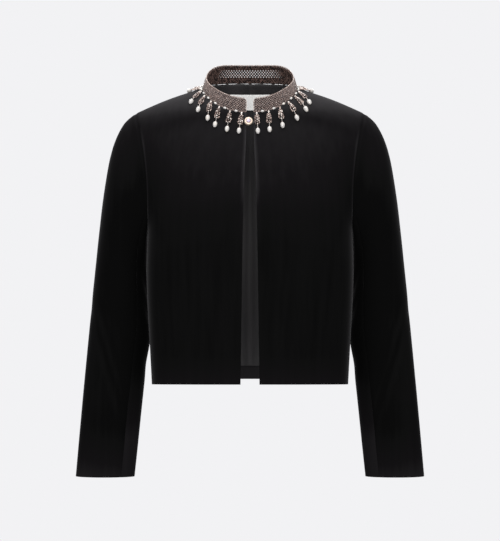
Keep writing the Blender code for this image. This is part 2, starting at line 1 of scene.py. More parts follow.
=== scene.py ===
# %% [markdown]
# # A cropped velvet jacket with a beaded collar
# The jacket is filled out as if it were worn, with nobody in it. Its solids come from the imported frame, and
# this lesson dresses them: fine velvet panels with sewn seams, a satin lining, a bare label, and a collar
# netted from small glass beads and hung with pearl drops. Every surface here is a numpy function of two
# parameters.

# %% Load the frame
import math

import bpy
import numpy as np
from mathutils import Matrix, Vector
from mathutils.bvhtree import BVHTree


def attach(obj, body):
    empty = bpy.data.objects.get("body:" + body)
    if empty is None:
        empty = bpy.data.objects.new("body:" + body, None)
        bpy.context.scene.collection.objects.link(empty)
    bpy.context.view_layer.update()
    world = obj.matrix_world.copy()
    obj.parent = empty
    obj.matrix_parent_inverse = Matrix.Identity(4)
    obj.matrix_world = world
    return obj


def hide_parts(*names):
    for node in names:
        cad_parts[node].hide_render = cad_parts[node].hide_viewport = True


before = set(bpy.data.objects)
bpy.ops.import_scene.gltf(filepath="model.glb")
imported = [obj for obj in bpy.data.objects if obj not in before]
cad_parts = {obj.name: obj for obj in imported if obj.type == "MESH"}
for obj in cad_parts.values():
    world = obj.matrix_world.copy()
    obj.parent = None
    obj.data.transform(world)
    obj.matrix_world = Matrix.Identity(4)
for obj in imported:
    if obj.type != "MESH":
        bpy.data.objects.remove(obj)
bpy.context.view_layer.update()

# %% [markdown]
# ## Camera
# The photograph is a level front view from far away, so the two sleeves hang without leaning outwards. A
# lens of about 160 mm at 4 m, at the height of the lower chest, gives the same faint perspective: the front
# hem is seen a few millimetres lower than the back hem. A longer lens would flatten the neck opening too
# much.

# %% Camera
CAMERA_DISTANCE = 4.0
CAMERA_HEIGHT = -0.299
LENS = 159.67
SENSOR = 36.0

camera = bpy.data.objects.new("camera", bpy.data.cameras.new("camera"))
bpy.context.scene.collection.objects.link(camera)
camera.location = (0, -CAMERA_DISTANCE, CAMERA_HEIGHT)
camera.rotation_euler = (math.radians(90), 0, 0)
camera.data.lens = LENS
camera.data.sensor_width = SENSOR
camera.data.sensor_fit = "AUTO"
bpy.context.scene.camera = camera
print("camera at", tuple(camera.location))

# %% [markdown]
# ## Colours and nodes
# Colours are written as the hex values that an eye-dropper shows, and the shader wants linear light, so one
# function converts them. One more function adds a node, sets it and links it, so that a material reads as a
# recipe.


# %% Colours and nodes
def linear(hex_colour):
    """An sRGB hex colour as linear red, green, blue and alpha: a short straight toe, then a power of 2.4."""
    srgb = np.array([int(hex_colour[k:k + 2], 16) for k in (1, 3, 5)]) / 255
    light = np.where(srgb <= 0.04045, srgb / 12.92, ((srgb + 0.055) / 1.055) ** 2.4)
    return (*light.tolist(), 1.0)


def new_finish(name, colour, **sockets):
    """A Principled material of one colour, with the shader's own sockets set by name."""
    made = bpy.data.materials.new(name)
    made.use_nodes = True
    shader = made.node_tree.nodes["Principled BSDF"]
    shader.inputs["Base Color"].default_value = linear(colour)
    for socket, value in sockets.items():
        shader.inputs[socket.replace("_", " ")].default_value = value
    return made, shader


def add_node(material, kind, settings, **links):
    """Adds one node. A setting is a property or a socket's value, stops fill a ramp, links feed sockets."""
    node = material.node_tree.nodes.new(f"ShaderNode{kind}")
    for key, value in settings.items():
        if key == "stops":
            ramp = node.color_ramp.elements
            ramp[0].position, ramp[1].position = value[0][0], value[-1][0]
            ramp[0].color, ramp[-1].color = linear(value[0][1]), linear(value[-1][1])
            for place, colour in value[1:-1]:
                ramp.new(place).color = linear(colour)
        elif hasattr(node, key):
            setattr(node, key, value)
        else:
            node.inputs[key].default_value = value
    for socket, output in links.items():
        material.node_tree.links.new(output, node.inputs[socket.replace("_", " ")])
    return node


def feed(material, shader, **links):
    """Joins outputs to the shader's sockets."""
    for socket, output in links.items():
        material.node_tree.links.new(output, shader.inputs[socket.replace("_", " ")])


# %% [markdown]
# ## Light and floor
# Black velvet shows its shape almost only by its sheen, so the room matters more than any lamp. An even
# pale room puts a soft rim on every edge that turns away, a wide light overhead lifts the shoulders, and a
# large soft box over the camera reaches into the neck, where the label and the lining lie. The floor lies
# where a wearer's feet would be, below the picture.

# %% Light and floor
ROOM = "#f2f2f4"
FLOOR_HEIGHT = -1.45
FLOOR_RADIUS = 2.4
FLOOR_PAINT = "#bcbcbe"
FLOOR_POINTS = 64

room = bpy.data.worlds.new("pale_room")
bpy.context.scene.world = room
room.use_nodes = True
room.node_tree.nodes["Background"].inputs["Color"].default_value = linear(ROOM)
bpy.context.scene.view_settings.view_transform = "Standard"

# Each light: place, aim, width, height, watts
LIGHTS = {
    "overhead": ((0.0, -0.5, 2.0), (0, 0, -0.1), 2.4, 1.6, 60.0),
    "front": ((0.0, -3.8, 1.0), (0, 0, -0.1), 1.2, 1.4, 105.0),
    "back": ((0.0, 3.6, 1.4), (0, 0, -0.2), 2.4, 1.4, 85.0),
}
for name, (place, aim, width, height, watts) in LIGHTS.items():
    lamp = bpy.data.lights.new(name, "AREA")
    lamp.shape, lamp.size, lamp.size_y, lamp.energy = "RECTANGLE", width, height, watts
    holder = bpy.data.objects.new(name, lamp)
    holder.location = place
    holder.rotation_euler = (Vector(aim) - Vector(place)).to_track_quat("-Z", "Y").to_euler()
    bpy.context.scene.collection.objects.link(holder)

turn = np.linspace(0, 2 * math.pi, FLOOR_POINTS, endpoint=False)
disc = np.column_stack([np.cos(turn), np.sin(turn), np.zeros(FLOOR_POINTS)]) * FLOOR_RADIUS
floor_mesh = bpy.data.meshes.new("floor")
floor_mesh.from_pydata((disc + [0, 0, FLOOR_HEIGHT]).tolist(), [], [list(range(FLOOR_POINTS))])
floor = bpy.data.objects.new("floor", floor_mesh)
floor_paint, _ = new_finish("painted_floor", FLOOR_PAINT, Roughness=0.9, Specular_IOR_Level=0.1)
floor.data.materials.append(floor_paint)
bpy.context.scene.collection.objects.link(floor)
print("lights:", ", ".join(LIGHTS), "and a floor at", FLOOR_HEIGHT)

# %% [markdown]
# ## The pattern: neck, body and sleeves
# These are the jacket's own sizes in metres, the same that its solids are cut from. A garment's form lies
# in a few lines: the neckline, the centre front and back, the side seam, the armhole and the rings of the
# sleeve. Everything between them is worked out, so moving one number here moves the cloth, its lining and
# its beads together.

# %% Sizes of the neck and body
# Thickness of the velvet and of the lining, and the gap between two layers
VELVET = 0.0020
LINING = 0.0010
SEAM = 0.0003
NECK = {"half_width": 0.079, "front": 0.076, "back": 0.064}
COLLAR_TOP = {"half_width": 0.0735, "front": 0.069, "back": 0.059}
NECK_POWER = 0.80
# Height round a ring: level + tilt * cos(angle) + saddle * cos(2 * angle) + third * cos(3 * angle)
# + square * cos(4 * angle), where the angle is 0 at the centre front
NECK_HEIGHTS = {"level": -0.0045, "tilt": -0.0271, "saddle": -0.0075, "third": -0.0014, "square": 0.0}
COLLAR_HEIGHTS = {"level": 0.0214, "tilt": -0.0320, "saddle": -0.0035, "third": 0.0, "square": -0.0014}
HEM = -0.484
SIDE_HEM = -0.488
SIDE_Y = -0.010
# Centre front from hem to neck: height, reach to the front, half of the gap between the two edges
FRONT_EDGE = {
    "hem": (-0.484, -0.112, 0.0154),
    "low_waist": (-0.395, -0.117, 0.0141),
    "waist": (-0.325, -0.122, 0.0131),
    "bust": (-0.255, -0.127, 0.0119),
    "upper_bust": (-0.195, -0.125, 0.0106),
    "chest": (-0.135, -0.112, 0.0090),
    "high_chest": (-0.085, -0.095, 0.0067),
    "neck": (-0.0405, -0.076, 0.0062),
}
# Centre back from hem to neck: height, reach to the back
BACK_LINE = {
    "hem": (-0.484, 0.0980),
    "low_waist": (-0.395, 0.0965),
    "waist": (-0.325, 0.0945),
    "blade_low": (-0.255, 0.0995),
    "blade": (-0.195, 0.1060),
    "blade_high": (-0.135, 0.1090),
    "yoke": (-0.085, 0.1060),
    "nape_low": (-0.035, 0.0920),
    "nape": (0.0165, 0.0640),
}
# Side seam from hem to underarm: height, half width
SIDE_SEAM = {
    "hem": (-0.488, 0.1630),
    "low_waist": (-0.412, 0.1670),
    "waist": (-0.347, 0.1705),
    "under_bust": (-0.295, 0.1720),
    "underarm": (-0.238, 0.1700),
}
# Sections across the body, hem to shoulder seam. An edge runs 0 to 1 up the centre and 1 to 2 along the
# neckline; the side runs 0 to 1 up the side seam and 1 to 2 round the armhole. Turn is how far the section
# has rounded when it meets the side, power squares it, and a fall is the straight share of its drop.
SECTION_COLUMNS = ("front", "back", "side", "turn", "power", "front_fall", "back_fall")
SECTIONS = {
    "hem": (0.000, 0.000, 0.00, 90, 0.80, 0.00, 0.00),
    "low_waist": (0.200, 0.180, 0.31, 90, 0.80, 0.00, 0.00),
    "waist": (0.360, 0.320, 0.57, 90, 0.80, 0.00, 0.00),
    "under_bust": (0.460, 0.410, 0.78, 90, 0.80, 0.00, 0.00),
    "bust": (0.550, 0.500, 1.00, 90, 0.82, 0.00, 0.00),
    "upper_bust": (0.645, 0.585, 1.17, 80, 0.85, 0.05, 0.05),
    "chest": (0.745, 0.675, 1.31, 70, 0.88, 0.10, 0.10),
    "across": (0.855, 0.775, 1.45, 60, 0.91, 0.15, 0.15),
    "high_chest": (0.935, 0.865, 1.56, 52, 0.94, 0.22, 0.22),
    "neck": (1.000, 0.940, 1.67, 44, 0.96, 0.30, 0.33),
    "neck_third": (1.330, 1.000, 1.78, 36, 0.98, 0.38, 0.46),
    "neck_two_thirds": (1.670, 1.500, 1.89, 28, 1.00, 0.56, 0.80),
    "shoulder": (2.000, 2.000, 2.00, 20, 1.00, 0.63, 0.63),
}
LAST_SECTION = len(SECTIONS) - 1

# %% Sizes of the armhole and sleeve
SHOULDER_POINT = (0.191, 0.002, -0.0375)
UNDERARM_POINT = (0.170, SIDE_Y, -0.238)
ARMHOLE_REACH = {"front": 0.052, "back": 0.056}
ARMHOLE_EGG = 0.18
ARMHOLE_SCOOP = 0.007
# Sleeve rings from the armhole down: outer edge x and z, inner edge x and z, half depth, centre y
RING_COLUMNS = ("out_x", "out_z", "in_x", "in_z", "depth", "y")
SLEEVE_RINGS = {
    "armhole": (0.1913, -0.0375, 0.1703, -0.2380, 0.0540, -0.004),
    "head": (0.2092, -0.0525, 0.1711, -0.2570, 0.0570, 0.007),
    "cap": (0.2251, -0.0810, 0.1716, -0.2740, 0.0605, 0.015),
    "cap_low": (0.2347, -0.1120, 0.1714, -0.2890, 0.0620, 0.021),
    "upper_arm": (0.2468, -0.1830, 0.1707, -0.3120, 0.0610, 0.026),
    "arm": (0.2530, -0.2350, 0.1696, -0.3400, 0.0590, 0.028),
    "above_elbow": (0.2590, -0.2900, 0.1681, -0.3720, 0.0565, 0.028),
    "elbow": (0.2644, -0.3450, 0.1669, -0.4060, 0.0535, 0.027),
    "below_elbow": (0.2693, -0.4030, 0.1726, -0.4500, 0.0500, 0.023),
    "forearm": (0.2743, -0.4600, 0.1778, -0.4980, 0.0455, 0.017),
    "low_arm": (0.2797, -0.5180, 0.1827, -0.5470, 0.0405, 0.010),
    "wrist": (0.2852, -0.5800, 0.1875, -0.5960, 0.0355, 0.004),
    "cuff": (0.2903, -0.6416, 0.1922, -0.6416, 0.0300, -0.002),
}
LAST_RING = len(SLEEVE_RINGS) - 1
CAP_RINGS = 4
FRONT_ARM_SEAM = math.radians(125)
HIND_ARM_SEAM = math.radians(250)


# %% [markdown]
# ## Surfaces
# A table gives the jacket at a few stops, and a smooth curve joins them. A Bezier patch or a subdivision
# cage could do that too, but a monotone cubic never swings past a number in the table, so the outline stays
# where it was measured. The body runs from the centre line to the side along an elliptical section, and the
# sleeve is a stack of leaning egg-shaped rings that starts as the armhole itself.


# %% Curves through a table
def column(table, number):
    """One column of a table as an array."""
    return np.array([row[number] for row in table.values()])


def smooth(at, stops, values):
    """A cubic through the stops whose slope at each is the harmonic mean of its two neighbours, or none."""
    gap = np.diff(stops)
    slope = np.diff(values) / gap
    before, after = slope[:-1], slope[1:]
    same_way = before * after > 0
    total = np.where(same_way, before + after, 1.0)
    middle = np.where(same_way, 2 * before * after / total, 0.0)
    tangent = np.concatenate([slope[:1], middle, slope[-1:]])
    k = np.clip(np.searchsorted(stops, at, side="right") - 1, 0, len(gap) - 1)
    f = (at - stops[k]) / gap[k]
    rise = values[k + 1] - values[k]
    bend = gap[k] * ((1 - f) * tangent[k] - f * tangent[k + 1]) - (1 - 2 * f) * rise
    return values[k] + f * rise + f * (1 - f) * bend


def power(value, exponent):
    """The size of a value to a power, with its sign kept: below 1 it squares the corners of a ring."""
    return np.sign(value) * np.abs(value) ** exponent


def unit(vectors):
    """Vectors divided by their length."""
    return vectors / np.linalg.norm(vectors, axis=-1, keepdims=True)


# %% Neck rings, armhole and edges
def ring_point(angle, size, heights):
    """A squared ellipse whose front and back reach differ, raised by up to four cosine waves round it."""
    c = power(np.cos(angle), NECK_POWER)
    x = size["half_width"] * power(np.sin(angle), NECK_POWER)
    y = np.where(c > 0, -size["front"] * c, -size["back"] * c)
    z = heights["level"] + heights["tilt"] * np.cos(angle) + heights["saddle"] * np.cos(2 * angle)
    z = z + heights["third"] * np.cos(3 * angle) + heights["square"] * np.cos(4 * angle)
    return np.stack(np.broadcast_arrays(x, y, z), axis=-1)


def neckline(angle):
    return ring_point(angle, NECK, NECK_HEIGHTS)


def collar_top(angle):
    return ring_point(angle, COLLAR_TOP, COLLAR_HEIGHTS)


FRONT_NECK_ANGLE = math.asin((FRONT_EDGE["neck"][2] / NECK["half_width"]) ** (1 / NECK_POWER))


def armhole(turn):
    """An egg from the shoulder point forward to the underarm and back, hollowed towards the body midway."""
    top, under = np.array(SHOULDER_POINT), np.array(UNDERARM_POINT)
    c, s = np.cos(turn)[..., None], np.sin(turn)
    point = (top + under) / 2 + (top - under) / 2 * c
    reach = np.where(s > 0, ARMHOLE_REACH["front"], ARMHOLE_REACH["back"])
    point[..., 1] -= reach * s * (1 - ARMHOLE_EGG * np.cos(turn))
    point[..., 0] -= ARMHOLE_SCOOP * s**2
    return point


def centre_edge(face, station):
    """Up the centre front or back from 0 to 1, then along the neckline to the shoulder from 1 to 2."""
    low = np.clip(station, 0, 1)
    along_neck = np.clip(station - 1, 0, 1)
    line = FRONT_EDGE if face == "front" else BACK_LINE
    start = FRONT_NECK_ANGLE if face == "front" else math.pi
    heights = column(line, 0)
    z = HEM + (heights[-1] - HEM) * low
    x = smooth(z, heights, column(line, 2)) if face == "front" else np.zeros_like(z)
    on_edge = np.stack([x, smooth(z, heights, column(line, 1)), z], axis=-1)
    on_neck = neckline(start + (math.pi / 2 - start) * along_neck)
    return np.where((station <= 1)[..., None], on_edge, on_neck)


def side_edge(face, station):
    """Up the side seam from 0 to 1, then round the front or back half of the armhole from 1 to 2."""
    heights = column(SIDE_SEAM, 0)
    z = SIDE_HEM + (heights[-1] - SIDE_HEM) * np.clip(station, 0, 1)
    on_side = np.stack([smooth(z, heights, column(SIDE_SEAM, 1)), np.full_like(z, SIDE_Y), z], axis=-1)
    turn = math.pi * (2 - np.clip(station, 1, 2))
    on_armhole = armhole(turn if face == "front" else -turn)
    return np.where((station <= 1)[..., None], on_side, on_armhole)


# %% Body and sleeve
def body(face, across, section):
    """From the centre edge to the side: out as a sine, back as one less a cosine, down as a line plus a
    square of the share across."""
    stops = np.arange(len(SECTIONS), dtype=float)
    values = {
        name: smooth(section, stops, column(SECTIONS, k)) for k, name in enumerate(SECTION_COLUMNS)
    }
    centre, side = centre_edge(face, values[face]), side_edge(face, values["side"])
    turn, square = np.radians(values["turn"]), values["power"]
    out = (np.sin(turn * across) / np.sin(turn)) ** square
    full = 1 - np.maximum(np.cos(turn), 0) ** square
    back = (1 - np.maximum(np.cos(turn * across), 0) ** square) / full
    straight = values[f"{face}_fall"]
    fall = straight * across + (1 - straight) * across**2
    return centre + (side - centre) * np.stack([out, back, fall], axis=-1)


def sleeve(turn, ring):
    """An ellipse leaning from its outer to its inner edge, which over the cap fades into the armhole."""
    stops = np.arange(len(SLEEVE_RINGS), dtype=float)
    value = {
        name: smooth(ring, stops, column(SLEEVE_RINGS, k)) for k, name in enumerate(RING_COLUMNS)
    }
    c, s = np.cos(turn), np.sin(turn)
    away = np.clip(ring / CAP_RINGS, 0, 1)
    like_armhole = (1 - away) ** 2 * (1 + 2 * away)
    x = (value["out_x"] + value["in_x"]) / 2 + (value["out_x"] - value["in_x"]) / 2 * c
    z = (value["out_z"] + value["in_z"]) / 2 + (value["out_z"] - value["in_z"]) / 2 * c
    front_less = (ARMHOLE_REACH["back"] - ARMHOLE_REACH["front"]) / 2 * np.sign(s)
    depth = value["depth"] - front_less * like_armhole
    lean = (SHOULDER_POINT[1] - UNDERARM_POINT[1]) / 2 * like_armhole
    y = value["y"] + lean * c - depth * s * (1 - ARMHOLE_EGG * like_armhole * c)
    return np.stack([x - ARMHOLE_SCOOP * like_armhole * s**2, y, z], axis=-1)


# %% Collar and normals
COLLAR_BULGE = 0.0012
# A parameter with these ends is never cut short
ENDLESS = (-math.inf, math.inf)


def collar(angle, height):
    """Straight from the neckline to the collar's top, swelling outwards as a parabola in between."""
    low, high = neckline(angle), collar_top(angle)
    outward = np.stack([np.sin(angle), -np.cos(angle), np.zeros_like(angle)], axis=-1)
    swell = COLLAR_BULGE * 4 * height * (1 - height)
    return low + (high - low) * height[..., None] + outward * swell[..., None]


def normals(surface, u, v, u_ends, v_ends, step=1e-3):
    """The cross product of a surface's two directions, each by a difference kept inside its ends."""
    u_low, u_high = np.clip(u - step, *u_ends), np.clip(u + step, *u_ends)
    v_low, v_high = np.clip(v - step, *v_ends), np.clip(v + step, *v_ends)
    along_u = surface(u_high, v) - surface(u_low, v)
    along_v = surface(u, v_high) - surface(u, v_low)
    return unit(np.cross(along_u, along_v))


bust = np.array([float(list(SECTIONS).index("bust"))])
print("front edge at the bust:", np.round(body("front", np.zeros(1), bust)[0], 4).tolist())

# %% [markdown]
# ## Black velvet
# Cotton velvet is a short cut pile standing on a woven ground. The pile swallows light that falls straight
# on it and scatters light that grazes it, so velvet is nearly black in the middle of a form and pale along
# its edges. The shader's own sheen gives that. Light from above is painted into the colour as well: cloth
# that faces up, as on the chest and the shoulders, is painted greyer, and each point carries that painted
# light as an attribute. Faint upright streaks left by brushing the nap are stretched noise, and a fine bump
# stands for the pile, drawn at about 1.6 mm because the real 0.3 mm would not show.

# %% Black velvet
NAP_STREAK = 0.010
NAP_LENGTH = 0.200
STREAK_SHARE = 0.16
PILE = 0.0016
# Painted light at a point, as its share of facing up plus any added, and the grey that it paints
PAINTED_TONES = [(0.02, "#070707"), (0.10, "#0a0a0a"), (0.32, "#0d0c0d"), (0.6, "#181718"), (1.0, "#2a292a")]


def make_velvet():
    """Black cotton velvet: dark facing the eye, painted greyer where it faces up, pale where it turns away.
    """
    made, shader = new_finish(
        "cotton_velvet", "#0d0c0d", Roughness=0.95, Specular_IOR_Level=0.0,
        Sheen_Weight=0.07, Sheen_Roughness=0.3, Sheen_Tint=linear("#d9d7da"),
    )
    place = add_node(made, "TexCoord", {})
    drawn = add_node(
        made, "Mapping", {"Scale": (1 / NAP_STREAK, 1 / NAP_STREAK, 1 / NAP_LENGTH)},
        Vector=place.outputs["Object"],
    )
    streaks = add_node(made, "TexNoise", {"Scale": 1.0, "Detail": 3.0}, Vector=drawn.outputs["Vector"])
    # Painted light: an attribute of how far each point faces up, with any painted light added to it
    leaning = add_node(made, "Attribute", {"attribute_name": "leaning"})
    nap = add_node(made, "MapRange", {"To Max": STREAK_SHARE}, Value=streaks.outputs["Fac"])
    both = add_node(made, "Math", {"operation": "ADD"})
    made.node_tree.links.new(leaning.outputs["Fac"], both.inputs[0])
    made.node_tree.links.new(nap.outputs["Result"], both.inputs[1])
    tone = add_node(made, "ValToRGB", {"stops": PAINTED_TONES}, Fac=both.outputs["Value"])
    pile = add_node(made, "TexNoise", {"Scale": 1 / PILE, "Detail": 1.0}, Vector=place.outputs["Object"])
    bump = add_node(made, "Bump", {"Strength": 0.25, "Distance": 0.0004}, Height=pile.outputs["Fac"])
    feed(made, shader, Base_Color=tone.outputs["Color"], Normal=bump.outputs["Normal"])
    return made


velvet = make_velvet()
print("made", velvet.name)

# %% [markdown]
# ## Satin lining
# The lining is a black satin: long floats of shiny yarn that lie along the piece, so it shines softly along
# its length and shows faint upright lines. Its yarns of about 0.2 mm are drawn as ribs of about 1.2 mm, in
# the piece's own UV map, which is laid out in metres.

# %% Satin lining
SATIN_RIB = 0.0012
SATIN_CLOUD = 0.030
SATIN_CLOUD_LENGTH = 0.250
WAVE_STRETCH = 20


def wave_scale(period):
    """The scale that gives a Wave texture a period in metres, since it stretches its input 20 times."""
    return 2 * math.pi / (WAVE_STRETCH * period)


def make_satin():
    """Black satin: greyer and smoother than the velvet, with faint upright lines."""
    made, shader = new_finish(
        "black_satin", "#201f20", Roughness=0.55, Specular_IOR_Level=0.2, Sheen_Weight=0.05
    )
    place = add_node(made, "TexCoord", {})
    ribs = add_node(
        made, "TexWave", {"Scale": wave_scale(SATIN_RIB), "Distortion": 1.5, "Detail": 1.0},
        Vector=place.outputs["UV"],
    )
    drawn_out = {"Scale": (1 / SATIN_CLOUD, 1 / SATIN_CLOUD_LENGTH, 1.0)}
    long_way = add_node(made, "Mapping", drawn_out, Vector=place.outputs["UV"])
    cloud = add_node(made, "TexNoise", {"Scale": 1.0, "Detail": 2.0}, Vector=long_way.outputs["Vector"])
    tone = add_node(
        made, "ValToRGB", {"stops": [(0.3, "#1f1e1f"), (0.7, "#312f30")]}, Fac=cloud.outputs["Fac"]
    )
    bump = add_node(made, "Bump", {"Strength": 0.2, "Distance": 0.0002}, Height=ribs.outputs["Fac"])
    feed(made, shader, Base_Color=tone.outputs["Color"], Normal=bump.outputs["Normal"])
    return made


satin = make_satin()
print("made", satin.name)

# %% [markdown]
# ## From points to cloth
# A panel is a grid of points on its outer face. Its quads are the same index pattern for every grid, points
# that two grids share are merged, and Solidify gives the wall its thickness, with the lining's finish on
# the inner side. A small Bevel rolls the cut edges, as velvet does when it is turned over a seam. The flat
# size of each piece, which a cutter would lay out, is measured on the grid itself.


# %% Grids
def grid_faces(grids):
    """All the quads of some grids, over their points one grid after another."""
    quads, start = [], 0
    for grid in grids:
        rows, columns = grid.shape[:2]
        index = np.arange(rows * columns).reshape(rows, columns) + start
        corners = index[:-1, :-1], index[:-1, 1:], index[1:, 1:], index[1:, :-1]
        quads.append(np.stack(corners, axis=-1).reshape(-1, 4))
        start += rows * columns
    return np.concatenate(quads)


def run_along(points, axis):
    """Distance run along a grid's rows or columns: the running sum of the gaps between neighbours."""
    step = np.linalg.norm(np.diff(points, axis=axis), axis=-1)
    return np.concatenate([np.zeros_like(np.take(step, [0], axis)), np.cumsum(step, axis)], axis)


def mirrored(grid):
    """The same grid on the other side, with its columns turned round so that it still faces out."""
    return (grid * np.array([-1, 1, 1]))[:, ::-1]


# %% Pieces of cloth
# A sheet's area is kept just below that of the rectangle it is cut from
MOST_AREA = 0.999
EDGE_ROLL = 0.0007
EDGE_ANGLE = math.radians(50)


def add_piece(name, points, faces, finishes):
    """A named object with its mesh at the origin, shaded smooth, riding on the jacket's one body."""
    mesh = bpy.data.meshes.new(name)
    mesh.from_pydata(points.tolist(), [], faces if isinstance(faces, list) else faces.tolist())
    mesh.shade_smooth()
    for item in finishes:
        mesh.materials.append(item)
    made = bpy.data.objects.new(name, mesh)
    bpy.context.scene.collection.objects.link(made)
    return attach(made, "root")


def flat_size(grids):
    """Longest row and column of some grids, and their area: half the cross product of each quad's
    diagonals, added up."""
    width = sum(run_along(grid, 1)[:, -1].max() for grid in grids)
    length = max(run_along(grid, 0)[-1].max() for grid in grids)
    area = 0.0
    for grid in grids:
        one, other = grid[1:, 1:] - grid[:-1, :-1], grid[1:, :-1] - grid[:-1, 1:]
        area += float(np.linalg.norm(np.cross(one, other), axis=-1).sum() / 2)
    return float(width), float(length), min(area, MOST_AREA * float(width * length))


def add_cloth(
    name, grids, thickness, finishes, facing=None, roll=EDGE_ROLL, painted_light=0.0
):
    """A panel of cloth from its outer grids. Facing marks the quads whose inner side is velvet, not lining,
    and painted_light is light painted into the velvet's tone, at each point or all over."""
    flat = np.concatenate([grid.reshape(-1, 3) for grid in grids])
    _, first, place = np.unique(np.round(flat, 7), axis=0, return_index=True, return_inverse=True)
    faces = grid_faces(grids)
    made = add_piece(name, flat[first], place.reshape(-1)[faces], finishes)
    layout = [np.stack([run_along(g, 1), run_along(g, 0)], axis=-1).reshape(-1, 2) for g in grids]
    laid_out = made.data.uv_layers.new(name="cut")
    laid_out.data.foreach_set("uv", np.concatenate(layout)[faces.ravel()].ravel())
    # Painted light: how far each point faces up, plus the painted light passed in, greys the velvet's tone
    lean = made.data.attributes.new("leaning", "FLOAT", "POINT")
    upward_share = np.array([corner.vector.z for corner in made.data.vertex_normals]).clip(0, 1)
    painted_total = upward_share + np.broadcast_to(painted_light, len(flat))[first]
    lean.data.foreach_set("value", painted_total.astype(np.float32))
    if facing is not None:
        made.data.polygons.foreach_set("material_index", np.where(facing, 2, 0).astype(np.int32))
    wall = made.modifiers.new("wall", "SOLIDIFY")
    wall.thickness, wall.offset = thickness, -1.0
    wall.use_even_offset, wall.material_offset = True, 1
    if roll:
        edge = made.modifiers.new("rolled_edge", "BEVEL")
        edge.width, edge.segments = roll, 2
        edge.limit_method, edge.angle_limit = "ANGLE", EDGE_ANGLE
    width, length, area = flat_size(grids)
    print(f"{name}: {width * 1000:.0f} by {length * 1000:.0f} mm, {area:.4f} square metres")
    return made


# %% [markdown]
# ## Seams and folds
# A sewn seam pulls the two panels inwards in a narrow trough, and on velvet that trough is drawn by a dark
# line with a paler bank on each side. Both panels sink along the same direction there, so the seam stays
# shut. The cloth is well pressed and the photograph shows hardly a fold, so the few ease folds are long,
# low swells, placed where an arm bends and where the back hangs free. Each is a bell curve along
# and across its own direction.

# %% Seams and folds
SEAM_SINK = 0.0012
SEAM_SPREAD = 0.0030
# Soft folds: place across and along the panel, half length, half width, height in metres, lean in degrees
FOLDS = {
    "front": [
        (0.150, 0.270, 0.050, 0.016, 0.0007, 30),
        (0.105, 0.090, 0.110, 0.022, -0.0006, 4),
        (0.060, 0.130, 0.140, 0.026, 0.0006, -3),
    ],
    "back": [
        (0.045, 0.110, 0.130, 0.028, 0.0012, 5),
        (0.110, 0.140, 0.150, 0.024, -0.0012, -6),
        (0.160, 0.120, 0.120, 0.022, 0.0010, -10),
        (0.150, 0.300, 0.060, 0.018, -0.0012, -35),
    ],
    "upper_sleeve": [
        (0.180, 0.330, 0.050, 0.014, -0.0011, 62),
        (0.160, 0.365, 0.060, 0.016, -0.0012, 68),
        (0.040, 0.310, 0.070, 0.018, -0.0011, -58),
        (0.110, 0.480, 0.120, 0.020, 0.0008, 6),
    ],
    "under_sleeve": [
        (0.040, 0.110, 0.060, 0.014, -0.0012, 50),
        (0.060, 0.160, 0.055, 0.014, -0.0014, 60),
        (0.050, 0.230, 0.070, 0.016, -0.0010, 70),
    ],
}


def trough(distance, sink=SEAM_SINK, spread=SEAM_SPREAD):
    """How deep a seam pulls the cloth in at a distance from it: a bell curve."""
    return sink * np.exp(-((distance / spread) ** 2))


def swell(points, folds):
    """The sum of some folds: each a bell curve along its length times one across its width."""
    table = np.array(folds)[:, :, None, None]
    x, z = run_along(points, 1) - table[:, 0], run_along(points, 0) - table[:, 1]
    lean = np.radians(table[:, 5])
    along_fold, across_fold = z * np.cos(lean) + x * np.sin(lean), x * np.cos(lean) - z * np.sin(lean)
    bells = np.exp(-((along_fold / table[:, 2]) ** 2) - (across_fold / table[:, 3]) ** 2)
    return (table[:, 4] * bells).sum(axis=0)


# %% Easing and the armhole
EASE_REACH = 0.030
EASE_ROUNDS = 40
ARMHOLE_PULL = 0.6


def eased(points):
    """Averages points with their neighbours up and down the panel, fading out to the centre and side."""
    run = run_along(points, 1)
    share = np.clip(np.minimum(run, run[:, -1:] - run) / EASE_REACH, 0, 1)[1:-1, :, None]
    soft = points.copy()
    for _ in range(EASE_ROUNDS):
        soft[1:-1] += ((soft[:-2] + soft[2:]) / 2 - soft[1:-1]) * share / 2
    return soft


def grid_normals(points):
    """The cross product of a grid's two directions at each point."""
    return unit(np.cross(np.gradient(points, axis=1), np.gradient(points, axis=0)))


def armhole_sink(turn):
    """Which way the armhole seam sinks: into the body, and above the underarm to the middle as well."""
    middle = (np.array(SHOULDER_POINT) + np.array(UNDERARM_POINT)) / 2
    share = np.sqrt((1 + np.cos(turn)) / 2)[..., None]
    return unit(unit(middle - armhole(turn)) * share + np.array([-ARMHOLE_PULL, 0, 0]))


# %% [markdown]
# ## Fronts and back
# Each front is one piece from the open edge to the side seam, and the back is cut whole. The outer grid
# follows the body surface, then sinks at the shoulder, the side and the armhole. Inside, a real jacket has
# a facing of its own velvet along the front edge and the hem, and satin beyond it, so the quads near those
# edges get velvet inside. Painted bounce light makes the velvet paler towards the hem, and a painted sheen
# pales it along the open edges and beside the armholes: those points carry more of the same attribute.

# %% Fronts and back
BODY_ROWS = 145
BODY_COLUMNS = 61
SIDE_CROWDING = 1.25
SHOULDER_SEAM_END = 0.008
FOLD_FADE = 0.020
FACING_WIDTH = 0.055
HEM_TURN_UP = 0.027


